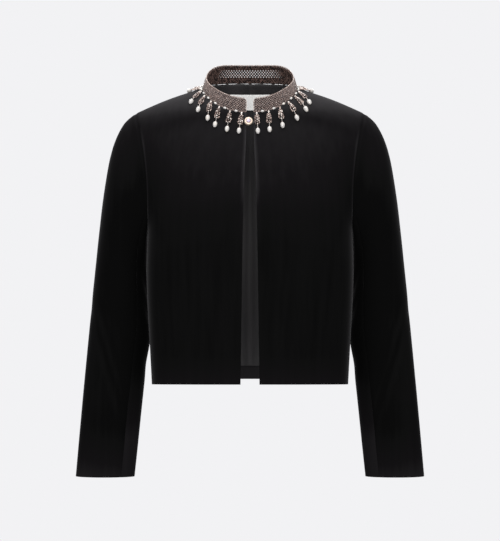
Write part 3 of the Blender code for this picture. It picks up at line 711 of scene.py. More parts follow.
def body_half(face):
    """The left front or left half back: points of the body moved by their folds and their seams."""
    across = 1 - (1 - np.linspace(0, 1, BODY_COLUMNS)) ** SIDE_CROWDING
    section = np.linspace(0, LAST_SECTION, BODY_ROWS)
    u, v = np.meshgrid(across, section)
    points = eased(body(face, u, v))
    outward = grid_normals(points) * (1 if face == "front" else -1)
    to_side = run_along(points, 1)[:, -1:] - run_along(points, 1)
    to_shoulder = run_along(points, 0)[-1:] - run_along(points, 0)
    station = smooth(section, np.arange(len(SECTIONS), dtype=float), column(SECTIONS, 2))
    turn = math.pi * (2 - np.clip(station, 1, 2))
    side_way = armhole_sink(turn if face == "front" else -turn)[:, None]
    shoulder_depth = trough(to_shoulder) * (1 - np.exp(-((to_side / SHOULDER_SEAM_END) ** 2)))
    inside = np.clip(np.minimum(run_along(points, 1), to_side) / FOLD_FADE, 0, 1)
    moved = points + outward * (swell(points, FOLDS[face]) * inside)[..., None]
    moved += side_way * trough(to_side)[..., None] + np.array([0, 0, -1]) * shoulder_depth[..., None]
    facing = run_along(points, 0) < HEM_TURN_UP
    if face == "front":
        facing |= run_along(points, 1) < FACING_WIDTH
        return moved, facing[:-1, :-1]
    return moved[:, ::-1], facing[:-1, :-1][:, ::-1]


# %% Painted light by the hem and painted sheen along the edges
# Painted bounce light near the hem: starting height, reach, most
HEM_LOWER_LIGHT = (-0.435, 0.050, 0.30)
LOWER_LIGHT_CURVE = 1.5
# Painted sheen along the open edge: the most, the width, and the heights between which it grows
EDGE_SHEEN = 0.45
EDGE_SHEEN_WIDTH = 0.0013
EDGE_SHEEN_HEIGHTS = (-0.260, -0.140)
# Painted sheen beside the armhole seam: the most, its distance and width, and the heights where it grows and
# fades
ARMHOLE_SHEEN = 0.40
ARMHOLE_SHEEN_BANK = (0.0045, 0.0022)
ARMHOLE_SHEEN_HEIGHTS = (-0.260, -0.225, -0.090, -0.060)


def painted_lower_light(grid, start, reach, most):
    """Painted light near a hem or cuff: none at the starting height, rising as a power to the edge."""
    return most * np.clip((start - grid[..., 2].ravel()) / reach, 0, 1) ** LOWER_LIGHT_CURVE


def painted_edge_sheen(grid):
    """Painted sheen along a front's open edge above the bust, and on its bank beside the armhole seam: two
    bell curves of the distance from the open edge and from the seam, fading with the height."""
    run = run_along(grid, 1)
    to_end = run[:, -1:] - run
    from_edge, from_seam = (run, to_end) if abs(grid[0, 0, 0]) < abs(grid[0, -1, 0]) else (to_end, run)
    height, (bank, width) = grid[..., 2], ARMHOLE_SHEEN_BANK
    edge = np.interp(height, EDGE_SHEEN_HEIGHTS, (0.0, EDGE_SHEEN))
    seam = np.interp(height, ARMHOLE_SHEEN_HEIGHTS, (0.0, ARMHOLE_SHEEN, ARMHOLE_SHEEN, 0.0))
    edge = edge * np.exp(-((from_edge / EDGE_SHEEN_WIDTH) ** 2))
    seam = seam * np.exp(-(((from_seam - bank) / width) ** 2))
    return (edge + seam).ravel()


# %% Sew the fronts and back
def dress(piece, node):
    """Hides the solid that the piece stands for."""
    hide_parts(node)
    return piece


cloth_finishes = [velvet, satin, velvet, velvet]
front, front_facing = body_half("front")
half_back, back_facing = body_half("back")
for side, grid, facing in (
    ("left", front, front_facing),
    ("right", mirrored(front), front_facing[:, ::-1]),
):
    # Painted light on the fronts: paler towards the hem, with a painted sheen along the open edge and armhole
    piece = add_cloth(
        f"velvet_front_{side}", [grid], VELVET, cloth_finishes, facing.ravel(),
        painted_light=painted_lower_light(grid, *HEM_LOWER_LIGHT) + painted_edge_sheen(grid),
    )
    dress(piece, f"front_{side}")
back_grids = [half_back, mirrored(half_back)]
back_marks = np.concatenate([back_facing.ravel(), back_facing[:, ::-1].ravel()])
dress(add_cloth("velvet_back", back_grids, VELVET, cloth_finishes, back_marks), "back")

# %% [markdown]
# ## Sleeves
# A tailored sleeve has two pieces, so that it can bend at the elbow without a dart. The upper sleeve goes
# over the arm from seam to seam, and the under sleeve lies next to the body. The front seam shows in the
# photograph as a thin paler line down the inside of each arm. The cuff is turned up with velvet inside.

# %% Sleeves
SLEEVE_ROWS = 151
UPPER_COLUMNS = 61
UNDER_COLUMNS = 33
SLEEVE_SEAM_SINK = 0.0006
SLEEVE_SEAM_SPREAD = 0.0022
CLEAR_OF_ARMHOLE = 0.010
SEAM_LAP = 0.003
ARMHOLE_LAP = 0.03
ARMHOLE_TUCK = 0.12
ARMHOLE_OVERLAP = 0.0003


def sleeve_panel(name, start, end, columns):
    """One panel of the left sleeve between two seams, moved by its folds, its seams and the armhole. At the
    front and back of the armhole, where the seam is a valley, its edge is tucked further into the body and
    stands out a little, so that its wall takes in the body's edge."""
    turns = np.linspace(start - SEAM_LAP, end + SEAM_LAP, columns)
    u, v = np.meshgrid(turns, np.linspace(0, 1, SLEEVE_ROWS))
    tucked = ARMHOLE_LAP + ARMHOLE_TUCK * np.sin(u) ** 2
    v = (LAST_RING + tucked) * v - tucked
    points = sleeve(u, v)
    outward = normals(sleeve, u, v, ENDLESS, (-ARMHOLE_LAP - ARMHOLE_TUCK, LAST_RING))
    seam_line = sleeve(turns, np.zeros(columns))
    from_armhole = np.maximum(run_along(points, 0) - np.linalg.norm(points[0] - seam_line, axis=-1), 0)
    run = run_along(points, 1)
    to_seam = np.minimum(run, run[:, -1:] - run)
    clear = 1 - np.exp(-((from_armhole / CLEAR_OF_ARMHOLE) ** 2))
    depth = trough(to_seam, SLEEVE_SEAM_SINK, SLEEVE_SEAM_SPREAD) - swell(points, FOLDS[name])
    moved = points - outward * (depth * clear)[..., None]
    moved += armhole_sink(u) * trough(from_armhole)[..., None]
    moved += outward * (trough(from_armhole, ARMHOLE_OVERLAP) * np.sin(u) ** 2)[..., None]
    facing = from_armhole > from_armhole[-1:] - HEM_TURN_UP
    return moved, facing[:-1, :-1]


# %% Sew the sleeves
# Painted shade: how much darker the velvet is painted on the sleeves
SLEEVE_SHADE = -0.08
# Painted light near the cuffs: starting height, reach, most
CUFF_LOWER_LIGHT = {
    "upper_sleeve": (-0.550, 0.090, 0.45),
    "under_sleeve": (-0.440, 0.140, 0.45),
}
sleeve_panels = {
    "upper_sleeve": sleeve_panel("upper_sleeve", HIND_ARM_SEAM - 2 * math.pi, FRONT_ARM_SEAM, UPPER_COLUMNS),
    "under_sleeve": sleeve_panel("under_sleeve", FRONT_ARM_SEAM, HIND_ARM_SEAM, UNDER_COLUMNS),
}
for name, (grid, facing) in sleeve_panels.items():
    for side in ("left", "right"):
        own = grid if side == "left" else mirrored(grid)
        marks = facing if side == "left" else facing[:, ::-1]
        # Painted light towards the cuffs, and painted shade that darkens the whole sleeve
        piece = add_cloth(
            f"velvet_{name}_{side}", [own], VELVET, cloth_finishes, marks.ravel(),
            painted_light=painted_lower_light(own, *CUFF_LOWER_LIGHT[name]) + SLEEVE_SHADE,
        )
        dress(piece, f"{name}_{side}")

# %% [markdown]
# ## Inside the back
# Between the open front edges one sees the back from inside: the turned-up hem, a satin lining whose lower
# fold hangs a little over it, and an ease pleat down the middle. Each layer is the back's own surface,
# moved in by the layers behind it.

# %% Inside the back
LINING_SIDE = 0.955
LINING_CROWDING = 1.15
PLEAT_HALF_WIDTH = 0.0085
PLEAT_DEPTH = 0.0026
PLEAT_ROUNDING = 0.15
LINING_FOLD = 0.012
LINING_FOLD_DEPTH = 0.0030
LINING_FOLD_REACH = 0.06
TABLE_POINTS = 1201


def section_at_height(z):
    """The section whose centre back is at this height, read off a fine table of the centre line."""
    stops = np.linspace(0, LAST_SECTION, TABLE_POINTS)
    heights = body("back", np.zeros_like(stops), stops)[:, 2]
    rising = np.argmax(heights) + 1
    return float(np.interp(z, heights[:rising], stops[:rising]))


def inside_back(sections, columns, depth):
    """The left half back moved in by a depth, from the centre to the side, facing into the jacket."""
    u, v = np.meshgrid(np.linspace(0, LINING_SIDE, columns) ** LINING_CROWDING, sections)
    points = eased(body("back", u, v))
    outward = -grid_normals(points)
    outward[np.isclose(u, 0) & np.isclose(points[..., 0], 0), 0] = 0
    return points - outward * depth


def pleat(x):
    """How far the centre back pleat stands in: a peak with straight sides and a rounded top."""
    share = np.clip(1 - np.abs(x) / PLEAT_HALF_WIDTH, 0, 1)
    return PLEAT_DEPTH * share * (1 + PLEAT_ROUNDING - PLEAT_ROUNDING * share)


def lower_fold(height, x):
    """How far the lining's lower fold hangs in: a square root, most at its edge, fading to the sides."""
    share = np.clip(1 - height / LINING_FOLD, 0, 1)
    return LINING_FOLD_DEPTH * np.sqrt(share) * np.clip(2 - np.abs(x) / LINING_FOLD_REACH, 0, 1)


def turned_in(grid):
    """A left half and its mirror image, both facing into the jacket."""
    return [grid, mirrored(grid)]


# %% Hem facing and lining
FACING_DEPTH = VELVET + SEAM
FACING_GRID = (9, 40)
# Painted light: how much paler the hem facing's velvet is painted all over
FACING_LIGHT = 0.7
LINING_DEPTH = FACING_DEPTH + LINING + SEAM
LINING_GRID = (120, 60)
LINING_DROP = 0.004
LINING_TOP = 0.15
THIN_ROLL = 0.0003

hem_rows = np.linspace(0, section_at_height(HEM + HEM_TURN_UP), FACING_GRID[0])
hem_facing = inside_back(hem_rows, FACING_GRID[1], FACING_DEPTH + LINING)
piece = add_cloth(
    "hem_facing", turned_in(hem_facing), LINING, [velvet, velvet], None, THIN_ROLL,
    painted_light=FACING_LIGHT,
)
dress(piece, "back_hem_facing")
lining_start = section_at_height(HEM + HEM_TURN_UP - LINING_DROP)
lining_rows = np.linspace(lining_start, LAST_SECTION - LINING_TOP, LINING_GRID[0])
lining = inside_back(lining_rows, LINING_GRID[1], LINING_DEPTH + LINING)
lining[..., 1] -= pleat(lining[..., 0]) + lower_fold(run_along(lining, 0), lining[..., 0])
piece = add_cloth(
    "satin_back_lining", turned_in(lining), LINING, [satin, satin], None, THIN_ROLL,
)
dress(piece, "back_lining")

# %% [markdown]
# ## Label
# A woven label is sewn below the back neck, and it is left bare. It lies on the lining, so its shape is
# read from the lining: a low polynomial in the distance from the middle and in the height is fitted to the
# lining's points near the neck, which is smoother than casting a ray for every point. Its plain weave of
# about 0.3 mm is drawn at 0.9 mm.

# %% Label cloth
LABEL_WEAVE = 0.0009


def make_label_cloth():
    """Ivory taffeta ribbon: smooth and matt, with a fine even weave."""
    made, shader = new_finish(
        "ivory_taffeta", "#efeeec", Roughness=0.65, Specular_IOR_Level=0.3, Sheen_Weight=0.1
    )
    place = add_node(made, "TexCoord", {})
    threads = {"Scale": wave_scale(LABEL_WEAVE), "Distortion": 0.6, "Detail": 0.0}
    warp = add_node(made, "TexWave", {**threads, "bands_direction": "X"}, Vector=place.outputs["UV"])
    weft = add_node(made, "TexWave", {**threads, "bands_direction": "Y"}, Vector=place.outputs["UV"])
    weave = add_node(made, "Math", {"operation": "MAXIMUM"})
    made.node_tree.links.new(warp.outputs["Fac"], weave.inputs[0])
    made.node_tree.links.new(weft.outputs["Fac"], weave.inputs[1])
    tone = add_node(
        made, "ValToRGB", {"stops": [(0.2, "#f0efec"), (0.9, "#fbfaf8")]}, Fac=weave.outputs["Value"]
    )
    bump = add_node(made, "Bump", {"Strength": 0.3, "Distance": 0.0002}, Height=weave.outputs["Value"])
    feed(made, shader, Base_Color=tone.outputs["Color"], Normal=bump.outputs["Normal"])
    return made


label_cloth = make_label_cloth()
print("made", label_cloth.name)

# %% Label
LABEL_WIDTH = 0.067
LABEL_TOP = -0.0017
LABEL_HEIGHT = 0.0253
LABEL_THICKNESS = 0.0006
LABEL_GRID = (25, 61)
LABEL_ROLL = 0.0002
FIT_REACH = 0.050


def fit_terms(x, z):
    """Terms of a polynomial that is the same on both sides: 1, z, z squared, x squared, x squared times z
    and x to the fourth."""
    return np.stack([np.ones_like(x), z, z**2, x**2, x**2 * z, x**4], axis=-1)


bare = lining.reshape(-1, 3).copy()
bare[:, 1] += pleat(bare[:, 0])
near = bare[(np.abs(bare[:, 0]) < FIT_REACH) & (bare[:, 2] > LABEL_TOP - 2 * LABEL_HEIGHT)]
fitted = np.linalg.lstsq(fit_terms(near[:, 0], near[:, 2]), near[:, 1], rcond=None)[0]
label_x, label_z = np.meshgrid(
    np.linspace(-LABEL_WIDTH / 2, LABEL_WIDTH / 2, LABEL_GRID[1]),
    np.linspace(LABEL_TOP - LABEL_HEIGHT, LABEL_TOP, LABEL_GRID[0]),
)
label_y = fit_terms(label_x, label_z) @ fitted - PLEAT_DEPTH - SEAM - LABEL_THICKNESS
label_grid = np.stack([label_x, label_y, label_z], axis=-1)
label = add_cloth(
    "bare_neck_label", [label_grid], LABEL_THICKNESS, [label_cloth, label_cloth], None, LABEL_ROLL,
)
dress(label, "neck_label")

# %% [markdown]
# ## Beads
# Seed beads are short glass tubes with rounded ends. One could model a bead and scatter instances, but a
# game engine or a printer wants plain meshes, so all the beads of a piece are worked out at once: rings of
# six points round each bead's own axis, shut by a pole at each end. At this size six sides look round.
# Every bead carries a number, its tone, that the glass reads: small beads in a real hank are never quite
# the same colour.

# %% Turned solids
BEAD_HEIGHTS = np.array([-0.50, -0.44, -0.20, 0.20, 0.44, 0.50])
BEAD_RADII = np.array([0.00, 0.62, 1.00, 1.00, 0.62, 0.00])
BEAD_SIDES = 6


def turned(centres, axes, ups, heights, radii, sides, tone=0.5, finish=0):
    """Closed turned solids: rings at heights along each axis, and a pole at the first and the last height."""
    count, rings = len(centres), len(heights[0]) - 2
    axis = unit(axes)
    side = unit(np.cross(ups, axis))
    top = np.cross(axis, side)
    turn = np.linspace(0, 2 * math.pi, sides, endpoint=False)[:, None]
    spoke = np.cos(turn) * side[:, None] + np.sin(turn) * top[:, None]
    lift = centres[:, None] + axis[:, None] * heights[..., None]
    shell = lift[:, 1:-1, None] + spoke[:, None] * radii[:, 1:-1, None, None]
    points = np.concatenate([shell.reshape(count, -1, 3), lift[:, [0, -1]]], axis=1)
    index = np.arange(rings * sides).reshape(rings, sides)
    after = np.roll(index, -1, axis=1)
    quads = np.stack([index[:-1], after[:-1], after[1:], index[1:]], axis=-1).reshape(-1, 4)
    low, high = np.full(sides, rings * sides), np.full(sides, rings * sides + 1)
    first_cap, last_cap = (low, after[0], index[0]), (high, index[-1], after[-1])
    caps = np.concatenate([np.stack(first_cap, axis=-1), np.stack(last_cap, axis=-1)])
    start = np.arange(count)[:, None, None] * points.shape[1]
    faces = [(quads + start).reshape(-1, 4), (caps + start).reshape(-1, 3)]
    tones = np.repeat(np.broadcast_to(tone, count), points.shape[1])
    return {"points": points.reshape(-1, 3), "faces": faces, "tone": tones, "finish": finish}


def beads(centres, axes, ups, length, radius, tone=0.5, finish=0):
    """Seed beads: turned solids with a straight middle and rounded ends."""
    count = len(centres)
    heights = np.broadcast_to(length, count)[:, None] * BEAD_HEIGHTS
    radii = np.broadcast_to(radius, count)[:, None] * BEAD_RADII
    return turned(centres, axes, ups, heights, radii, BEAD_SIDES, tone, finish)


def add_beadwork(name, parts, finishes):
    """One object from several turned parts, each with its finish, and the tone of every point."""
    starts = np.cumsum([0] + [len(part["points"]) for part in parts])
    faces, marks = [], []
    for part, start in zip(parts, starts):
        for block in part["faces"]:
            faces += (block + start).tolist()
            marks += [part["finish"]] * len(block)
    made = add_piece(name, np.concatenate([part["points"] for part in parts]), faces, finishes)
    made.data.polygons.foreach_set("material_index", np.array(marks, dtype=np.int32))
    tone = made.data.attributes.new("tone", "FLOAT", "POINT")
    tone.data.foreach_set("value", np.concatenate([part["tone"] for part in parts]).astype(np.float32))
    return made


# %% [markdown]
# ## Glass, pearl and metal
# The beads are taupe glass with a metallic lustre, from dark brown to nearly clear. Pearl is a coat over a
# bright warm core: a soft highlight under a sharper one. The drops hang on fine silver-plated wire, and the
# button has a pale gold rim.

# %% Glass, pearl and metal
NACRE = 0.004
# A bead's tone, and the colour of its glass
GLASS_TONES = [(0.0, "#211918"), (0.3, "#4a3c38"), (0.55, "#705f59"), (0.8, "#a19087"), (1.0, "#cdc4be")]
# The most and the least polished spots of a metal, as shares of its roughness
POLISH = (0.7, 1.4)


def make_bead_glass():
    """Lustred taupe glass: small sharp glints, and a tone that changes from bead to bead."""
    made, shader = new_finish(
        "lustred_glass", "#71625f", Roughness=0.28, Metallic=0.2, IOR=1.52,
        Coat_Weight=0.15, Coat_Roughness=0.1,
    )
    own = add_node(made, "Attribute", {"attribute_name": "tone"})
    tone = add_node(made, "ValToRGB", {"stops": GLASS_TONES}, Fac=own.outputs["Fac"])
    feed(made, shader, Base_Color=tone.outputs["Color"])
    return made


def make_pearl():
    """Imitation pearl: a bright ivory core under a clear glossy coat, faintly clouded."""
    made, shader = new_finish(
        "imitation_pearl", "#a39e97", Roughness=0.3, IOR=1.5, Coat_Weight=0.3, Coat_Roughness=0.12,
    )
    place = add_node(made, "TexCoord", {})
    cloud = add_node(made, "TexNoise", {"Scale": 1 / NACRE, "Detail": 2.0}, Vector=place.outputs["Object"])
    tone = add_node(
        made, "ValToRGB", {"stops": [(0.3, "#9b9896"), (0.55, "#b1aeaa"), (0.75, "#b0a89c")]},
        Fac=cloud.outputs["Fac"],
    )
    feed(made, shader, Base_Color=tone.outputs["Color"])
    return made


def make_metal(name, colour, roughness, scratch):
    """A plated metal with faint marks in its polish."""
    made, shader = new_finish(name, colour, Metallic=1.0, Roughness=roughness)
    place = add_node(made, "TexCoord", {})
    marks = add_node(made, "TexNoise", {"Scale": 1 / scratch, "Detail": 3.0}, Vector=place.outputs["Object"])
    polish = add_node(
        made, "MapRange", {"To Min": roughness * POLISH[0], "To Max": roughness * POLISH[1]},
        Value=marks.outputs["Fac"],
    )
    feed(made, shader, Roughness=polish.outputs["Result"])
    return made


bead_glass = make_bead_glass()
pearl = make_pearl()
silver_wire = make_metal("silver_plated_wire", "#b9b2ad", roughness=0.3, scratch=0.0008)
print("made", bead_glass.name, pearl.name, silver_wire.name)

# %% [markdown]
# ## Bead net
# The collar is a net of beads: rows of diamonds, with a bead along each side and one where four of them
# cross. From the front the beads look closed with dark pinholes, and inside the back of the collar the
# light comes through the holes as a lattice of sparks. A bump map can't do that, so the net is real
# geometry with real holes. Distance along the neckline and height up the band are the two parameters. The
# front corners are rounded by leaving out the crossings above the corner's curve. Behind each bead runs a
# dark brown cord, which keeps back most of the light.

# %% Distance round the neck
COLLAR_CORNER = 0.007
COLLAR_END = FRONT_EDGE["neck"][2]
NECK_POINTS = 8001
neck_angles = np.linspace(0, 2 * math.pi, NECK_POINTS)
neck_run = np.concatenate([[0], np.cumsum(np.linalg.norm(np.diff(neckline(neck_angles), axis=0), axis=1))])
NECK_LENGTH = float(neck_run[-1])


def neck_angle(distance):
    """The angle at a distance along the neckline from the centre front, going round by the left side."""
    return np.interp(distance, neck_run, neck_angles)


def band_height(distance):
    """How tall the collar is at a distance along the neckline."""
    angle = neck_angle(distance)
    return np.linalg.norm(collar_top(angle) - neckline(angle), axis=-1)


def top_share(distance):
    """The share of the height that is left under the rounded front corner: a quarter circle at each end."""
    from_end = np.minimum(distance, NECK_LENGTH - distance) - COLLAR_END
    into = np.clip(COLLAR_CORNER - from_end, 0, COLLAR_CORNER)
    return 1 - (COLLAR_CORNER - np.sqrt(COLLAR_CORNER**2 - into**2)) / band_height(distance)


def on_collar(distance, share, depth):
    """Points of the collar sunk by a depth below its outer face, and the outward normals there."""
    angle = neck_angle(distance)
    outward = normals(collar, angle, share, ENDLESS, (0, 1))
    return collar(angle, share) - outward * np.asarray(depth)[..., None], outward


print(f"the neckline is {NECK_LENGTH * 1000:.0f} mm round")

# %% Bead net
NET_PITCH = 0.0048
NET_ROWS = 11
NET_LOW = 0.055
NET_HIGH = 0.955
NET_DEPTH = 0.0012
NET_END = 0.0013
CORNER_MARGIN = 0.03
# A bead along a side: its length as a share of the side, its radius. One at a crossing: length, radius.
SIDE_BEAD = {"length": 0.84, "radius": 0.00076}
CROSSING = {"length": 0.0017, "radius": 0.00090}
# Tones: mean, spread, least, most
SIDE_TONE = (0.36, 0.12, 0.05, 0.90)
CROSSING_TONE = (0.46, 0.15, 0.05, 0.95)
draw = np.random.default_rng(7)

net_columns = 2 * round((NECK_LENGTH - 2 * COLLAR_END) / NET_PITCH)
across_net, up_net = np.meshgrid(np.arange(net_columns + 1), np.arange(NET_ROWS + 1), indexing="ij")
net_from, net_to = COLLAR_END + NET_END, NECK_LENGTH - COLLAR_END - NET_END
net_distance = net_from + (net_to - net_from) * across_net / net_columns
net_share = NET_LOW + (NET_HIGH - NET_LOW) * up_net / NET_ROWS
net_points, net_normals = on_collar(net_distance, net_share, np.full(net_share.shape, NET_DEPTH))
kept = ((across_net + up_net) % 2 == 0) & (net_share <= top_share(net_distance) - CORNER_MARGIN)


def drawn_tones(generator, count, mean, spread, least, most):
    """Random tones on a bell curve, kept between the least and the most."""
    return generator.normal(mean, spread, count).clip(least, most)


def side_beads(first, second):
    """One bead along each side of the diamonds that run from the first crossings to the second ones."""
    both = kept[first] & kept[second]
    start, end = net_points[first][both], net_points[second][both]
    gap = np.linalg.norm(end - start, axis=-1)
    tone = drawn_tones(draw, len(gap), *SIDE_TONE)
    up = net_normals[first][both]
    return beads((start + end) / 2, end - start, up, gap * SIDE_BEAD["length"], SIDE_BEAD["radius"], tone)


low_left, high_right = np.s_[:-1, :-1], np.s_[1:, 1:]
low_right, high_left = np.s_[1:, :-1], np.s_[:-1, 1:]
net = add_beadwork(
    "collar_bead_net",
    [side_beads(low_left, high_right), side_beads(low_right, high_left)],
    [bead_glass],
)
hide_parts("collar_band")
crossing_count = int(kept.sum())
crossings = beads(
    net_points[kept], net_normals[kept], np.tile([0.0, 0.0, 1.0], (crossing_count, 1)),
    CROSSING["length"], CROSSING["radius"], drawn_tones(draw, crossing_count, *CROSSING_TONE),
)
add_beadwork("collar_crossing_beads", [crossings], [bead_glass])
print("the net has", crossing_count, "crossings")

# %% Net cords
CORD_DEPTH = 0.0034
CORD_RADIUS = 0.00104
# A cord's rings as shares of its side's length and of its radius
CORD_HEIGHTS = np.array([-0.58, -0.50, 0.50, 0.58])
CORD_RADII = np.array([0.0, 1.0, 1.0, 0.0])
CORD_SIDES = 4
CORD_TONE = (0.45, 0.25, 0.0, 1.0)
THREAD_TONES = [(0.15, "#1d1514"), (0.85, "#57453f")]
draw_cords = np.random.default_rng(11)


def make_thread():
    """Dark brown linen thread: quite matt, with a tone that changes from cord to cord."""
    made, shader = new_finish("brown_thread", "#2a1f1d", Roughness=0.85, Specular_IOR_Level=0.15)
    own = add_node(made, "Attribute", {"attribute_name": "tone"})
    tone = add_node(made, "ValToRGB", {"stops": THREAD_TONES}, Fac=own.outputs["Fac"])
    place = add_node(made, "TexCoord", {})
    ply = add_node(
        made, "TexNoise", {"Scale": 1 / CORD_RADIUS, "Detail": 1.0}, Vector=place.outputs["Object"]
    )
    bump = add_node(made, "Bump", {"Strength": 0.5, "Distance": 0.0003}, Height=ply.outputs["Fac"])
    feed(made, shader, Base_Color=tone.outputs["Color"], Normal=bump.outputs["Normal"])
    return made


def net_cords(first, second):
    """A four-sided cord along each side of the diamonds, behind its bead."""
    both = kept[first] & kept[second]
    sunk = net_points - net_normals * (CORD_DEPTH - NET_DEPTH)
    start, end = sunk[first][both], sunk[second][both]
    gap = np.linalg.norm(end - start, axis=-1)[:, None]
    heights = gap * CORD_HEIGHTS
    radii = np.broadcast_to(CORD_RADIUS * CORD_RADII, heights.shape)
    tone = drawn_tones(draw_cords, len(gap), *CORD_TONE)
    return turned((start + end) / 2, end - start, net_normals[first][both], heights, radii, CORD_SIDES, tone)


thread = make_thread()
cords = [net_cords(low_left, high_right), net_cords(low_right, high_left)]
add_beadwork("collar_net_cords", cords, [thread])
print("made cords of", thread.name)

# %% [markdown]
# ## Collar edges
# A row of paler beads finishes the collar's front ends and its top, which the photograph shows as a thin
# light line, and a row of larger ones runs along the bottom. Inside, two dark brown ribbons carry the net:
# one along the base and one under the top edge, so that only the middle of the net lets light through.
# Their ribs of about 0.7 mm are drawn at 1.3 mm, so that they show.

# %% Collar edges
RIM_BEAD = 0.0013
RIM_SPACING = 1.02
RIM_INSET = 0.015
RIM_TONE = (0.72, 0.10, 0.4, 1.0)
BASE_BEAD = 0.0020
BASE_SPACING = 1.05
BASE_END = 0.001
BASE_BELOW = 0.01
BASE_TONE = (0.50, 0.15, 0.1, 0.95)
EDGE_POINTS = 3001
END_POINTS = 30
# A direction that no edge of the collar runs along
UPRIGHT = np.array([0.3, 0.2, 1.0])


def spaced(points, spacing):
    """Points evenly spaced along a line of points, and the direction of the line at each."""
    run = run_along(points, 0)
    count = max(2, round(float(run[-1]) / spacing))
    at = (np.arange(count) + 0.5) / count * run[-1]
    placed = np.stack([np.interp(at, run, points[:, k]) for k in range(3)], axis=-1)
    return placed, np.gradient(placed, axis=0)


def bead_row(run, share, size, spacing, tone):
    """A row of beads as wide as they are long, strung along a line at a share of the collar's height."""
    line, _ = on_collar(run, share, np.full(run.shape, NET_DEPTH))
    centres, axes = spaced(line, size * spacing)
    tones = drawn_tones(draw, len(centres), *tone)
    return beads(centres, axes, np.tile(UPRIGHT, (len(centres), 1)), size, size / 2, tones)


end_share = float(top_share(np.array([COLLAR_END]))[0])
top_run = np.linspace(COLLAR_END, NECK_LENGTH - COLLAR_END, EDGE_POINTS)
rim_run = np.pad(top_run, END_POINTS, mode="edge")
rim_share = np.concatenate([
    np.linspace(NET_LOW, end_share, END_POINTS, endpoint=False),
    top_share(top_run),
    np.linspace(end_share, NET_LOW, END_POINTS + 1)[1:],
])
rim = bead_row(rim_run, np.clip(rim_share - RIM_INSET, 0, 1), RIM_BEAD, RIM_SPACING, RIM_TONE)
base_run = np.linspace(COLLAR_END + BASE_END, NECK_LENGTH - COLLAR_END - BASE_END, EDGE_POINTS)
base_share = np.full(base_run.shape, NET_LOW - BASE_BELOW)
base = bead_row(base_run, base_share, BASE_BEAD, BASE_SPACING, BASE_TONE)
add_beadwork("collar_edge_beads", [rim, base], [bead_glass])

# %% Ribbons
RIBBON_RIB = 0.0013
RIBBON_DEPTH = 0.0023
RIBBON_THICKNESS = 0.0006
RIBBON_GRID = (7, 321)
# Lower and upper edge of each ribbon, and how far the edge next to the gap moves to shut it at the front
RIBBONS = {"base_ribbon": (0.040, 0.34, 0.20), "top_ribbon": (0.73, 0.97, 0.20)}
# Where the gap starts, as a share of the neckline from the centre front, and the share over which it opens
RIBBON_OPENS = 0.30
RIBBON_OPENING = 0.05


def make_ribbon():
    """Dark brown ribbed ribbon: matt, with ribs across its width."""
    made, shader = new_finish("ribbed_ribbon", "#2c2221", Roughness=0.8, Specular_IOR_Level=0.2)
    place = add_node(made, "TexCoord", {})
    ribs = add_node(
        made, "TexWave", {"Scale": wave_scale(RIBBON_RIB), "Distortion": 0.3}, Vector=place.outputs["UV"]
    )
    tone = add_node(
        made, "ValToRGB", {"stops": [(0.1, "#100b0b"), (0.9, "#1c1514")]}, Fac=ribs.outputs["Fac"]
    )
    bump = add_node(made, "Bump", {"Strength": 0.5, "Distance": 0.0003}, Height=ribs.outputs["Fac"])
    feed(made, shader, Base_Color=tone.outputs["Color"], Normal=bump.outputs["Normal"])
    return made


ribbon = make_ribbon()
for name, (low, high, shift) in RIBBONS.items():
    u, v = np.meshgrid(np.linspace(net_from, net_to, RIBBON_GRID[1]), np.linspace(0, 1, RIBBON_GRID[0]))
    from_front = np.minimum(u, NECK_LENGTH - u) / NECK_LENGTH
    front_share = np.clip((RIBBON_OPENS - from_front) / RIBBON_OPENING, 0, 1)
    if name == "base_ribbon":
        v = low + (high + shift * front_share - low) * v
    else:
        v = high - (high - low + shift * front_share) * (1 - v)
    v = np.minimum(v, top_share(u) - CORNER_MARGIN)
    ribbon_grid, _ = on_collar(u, v, np.full(u.shape, RIBBON_DEPTH))
    piece = add_cloth(
        name, [ribbon_grid], RIBBON_THICKNESS, [ribbon, ribbon], None, 0.0,
    )

# %% [markdown]
# ## Pearl drops
# Each drop hangs from the collar's lower edge: a pale root bead, a leaf of beads in three rows that widens
# downwards, a short wire and a long pearl. It lies on the cloth, so its path walks down over the velvet
# from the neckline, a step at a time, always just clear of the nearest point. The beads are then set along
# the path in its own directions: along it, across it and away from the cloth.

# %% Paths of the drops
DROPS_EACH_SIDE = 13
FIRST_DROP = {"left": 0.0105, "right": 0.0130}
DROP_START = 0.0030
DROP_CLEARANCE = 0.0010
DROP_SPLAY = 0.22
DROP_FALL = 0.85
NECK_STEP = 1e-4
# How far each drop leans away from the centre front, first to last; those not named hang straight
DROP_LEANS = {
    "left": (0.04, -0.02, 0.00, 0.15, 0.12, -0.08, 0.70, 0.55, 0.30, 0.10),
    "right": (0.10, 0.06, 0.05, -0.12, -0.10, -0.12, 0.75, 0.55, 0.30, 0.10),
}
# Along a drop from the collar: distance, half width, half thickness
DROP_PROFILE = {
    "root": (0.0000, 0.0011, 0.0011),
    "root_bead": (0.0020, 0.0019, 0.0017),
    "leaf_top": (0.0044, 0.0026, 0.0018),
    "leaf": (0.0120, 0.0037, 0.0022),
    "leaf_end": (0.0200, 0.0045, 0.0022),
    "wire_top": (0.0222, 0.0009, 0.0009),
    "wire": (0.0276, 0.0009, 0.0009),
    "pearl_cap": (0.0288, 0.0022, 0.0022),
    "pearl_high": (0.0313, 0.0036, 0.0036),
    "pearl_wide": (0.0341, 0.0039, 0.0039),
    "pearl_low": (0.0370, 0.0031, 0.0031),
    "pearl_end": (0.0394, 0.0010, 0.0010),
}
DROP_STOPS = column(DROP_PROFILE, 0)
cloth_grids = [front, mirrored(front), half_back, mirrored(half_back)]
cloth_points = np.concatenate([grid.reshape(-1, 3) for grid in cloth_grids])
cloth_tree = BVHTree.FromPolygons(cloth_points.tolist(), grid_faces(cloth_grids).tolist())


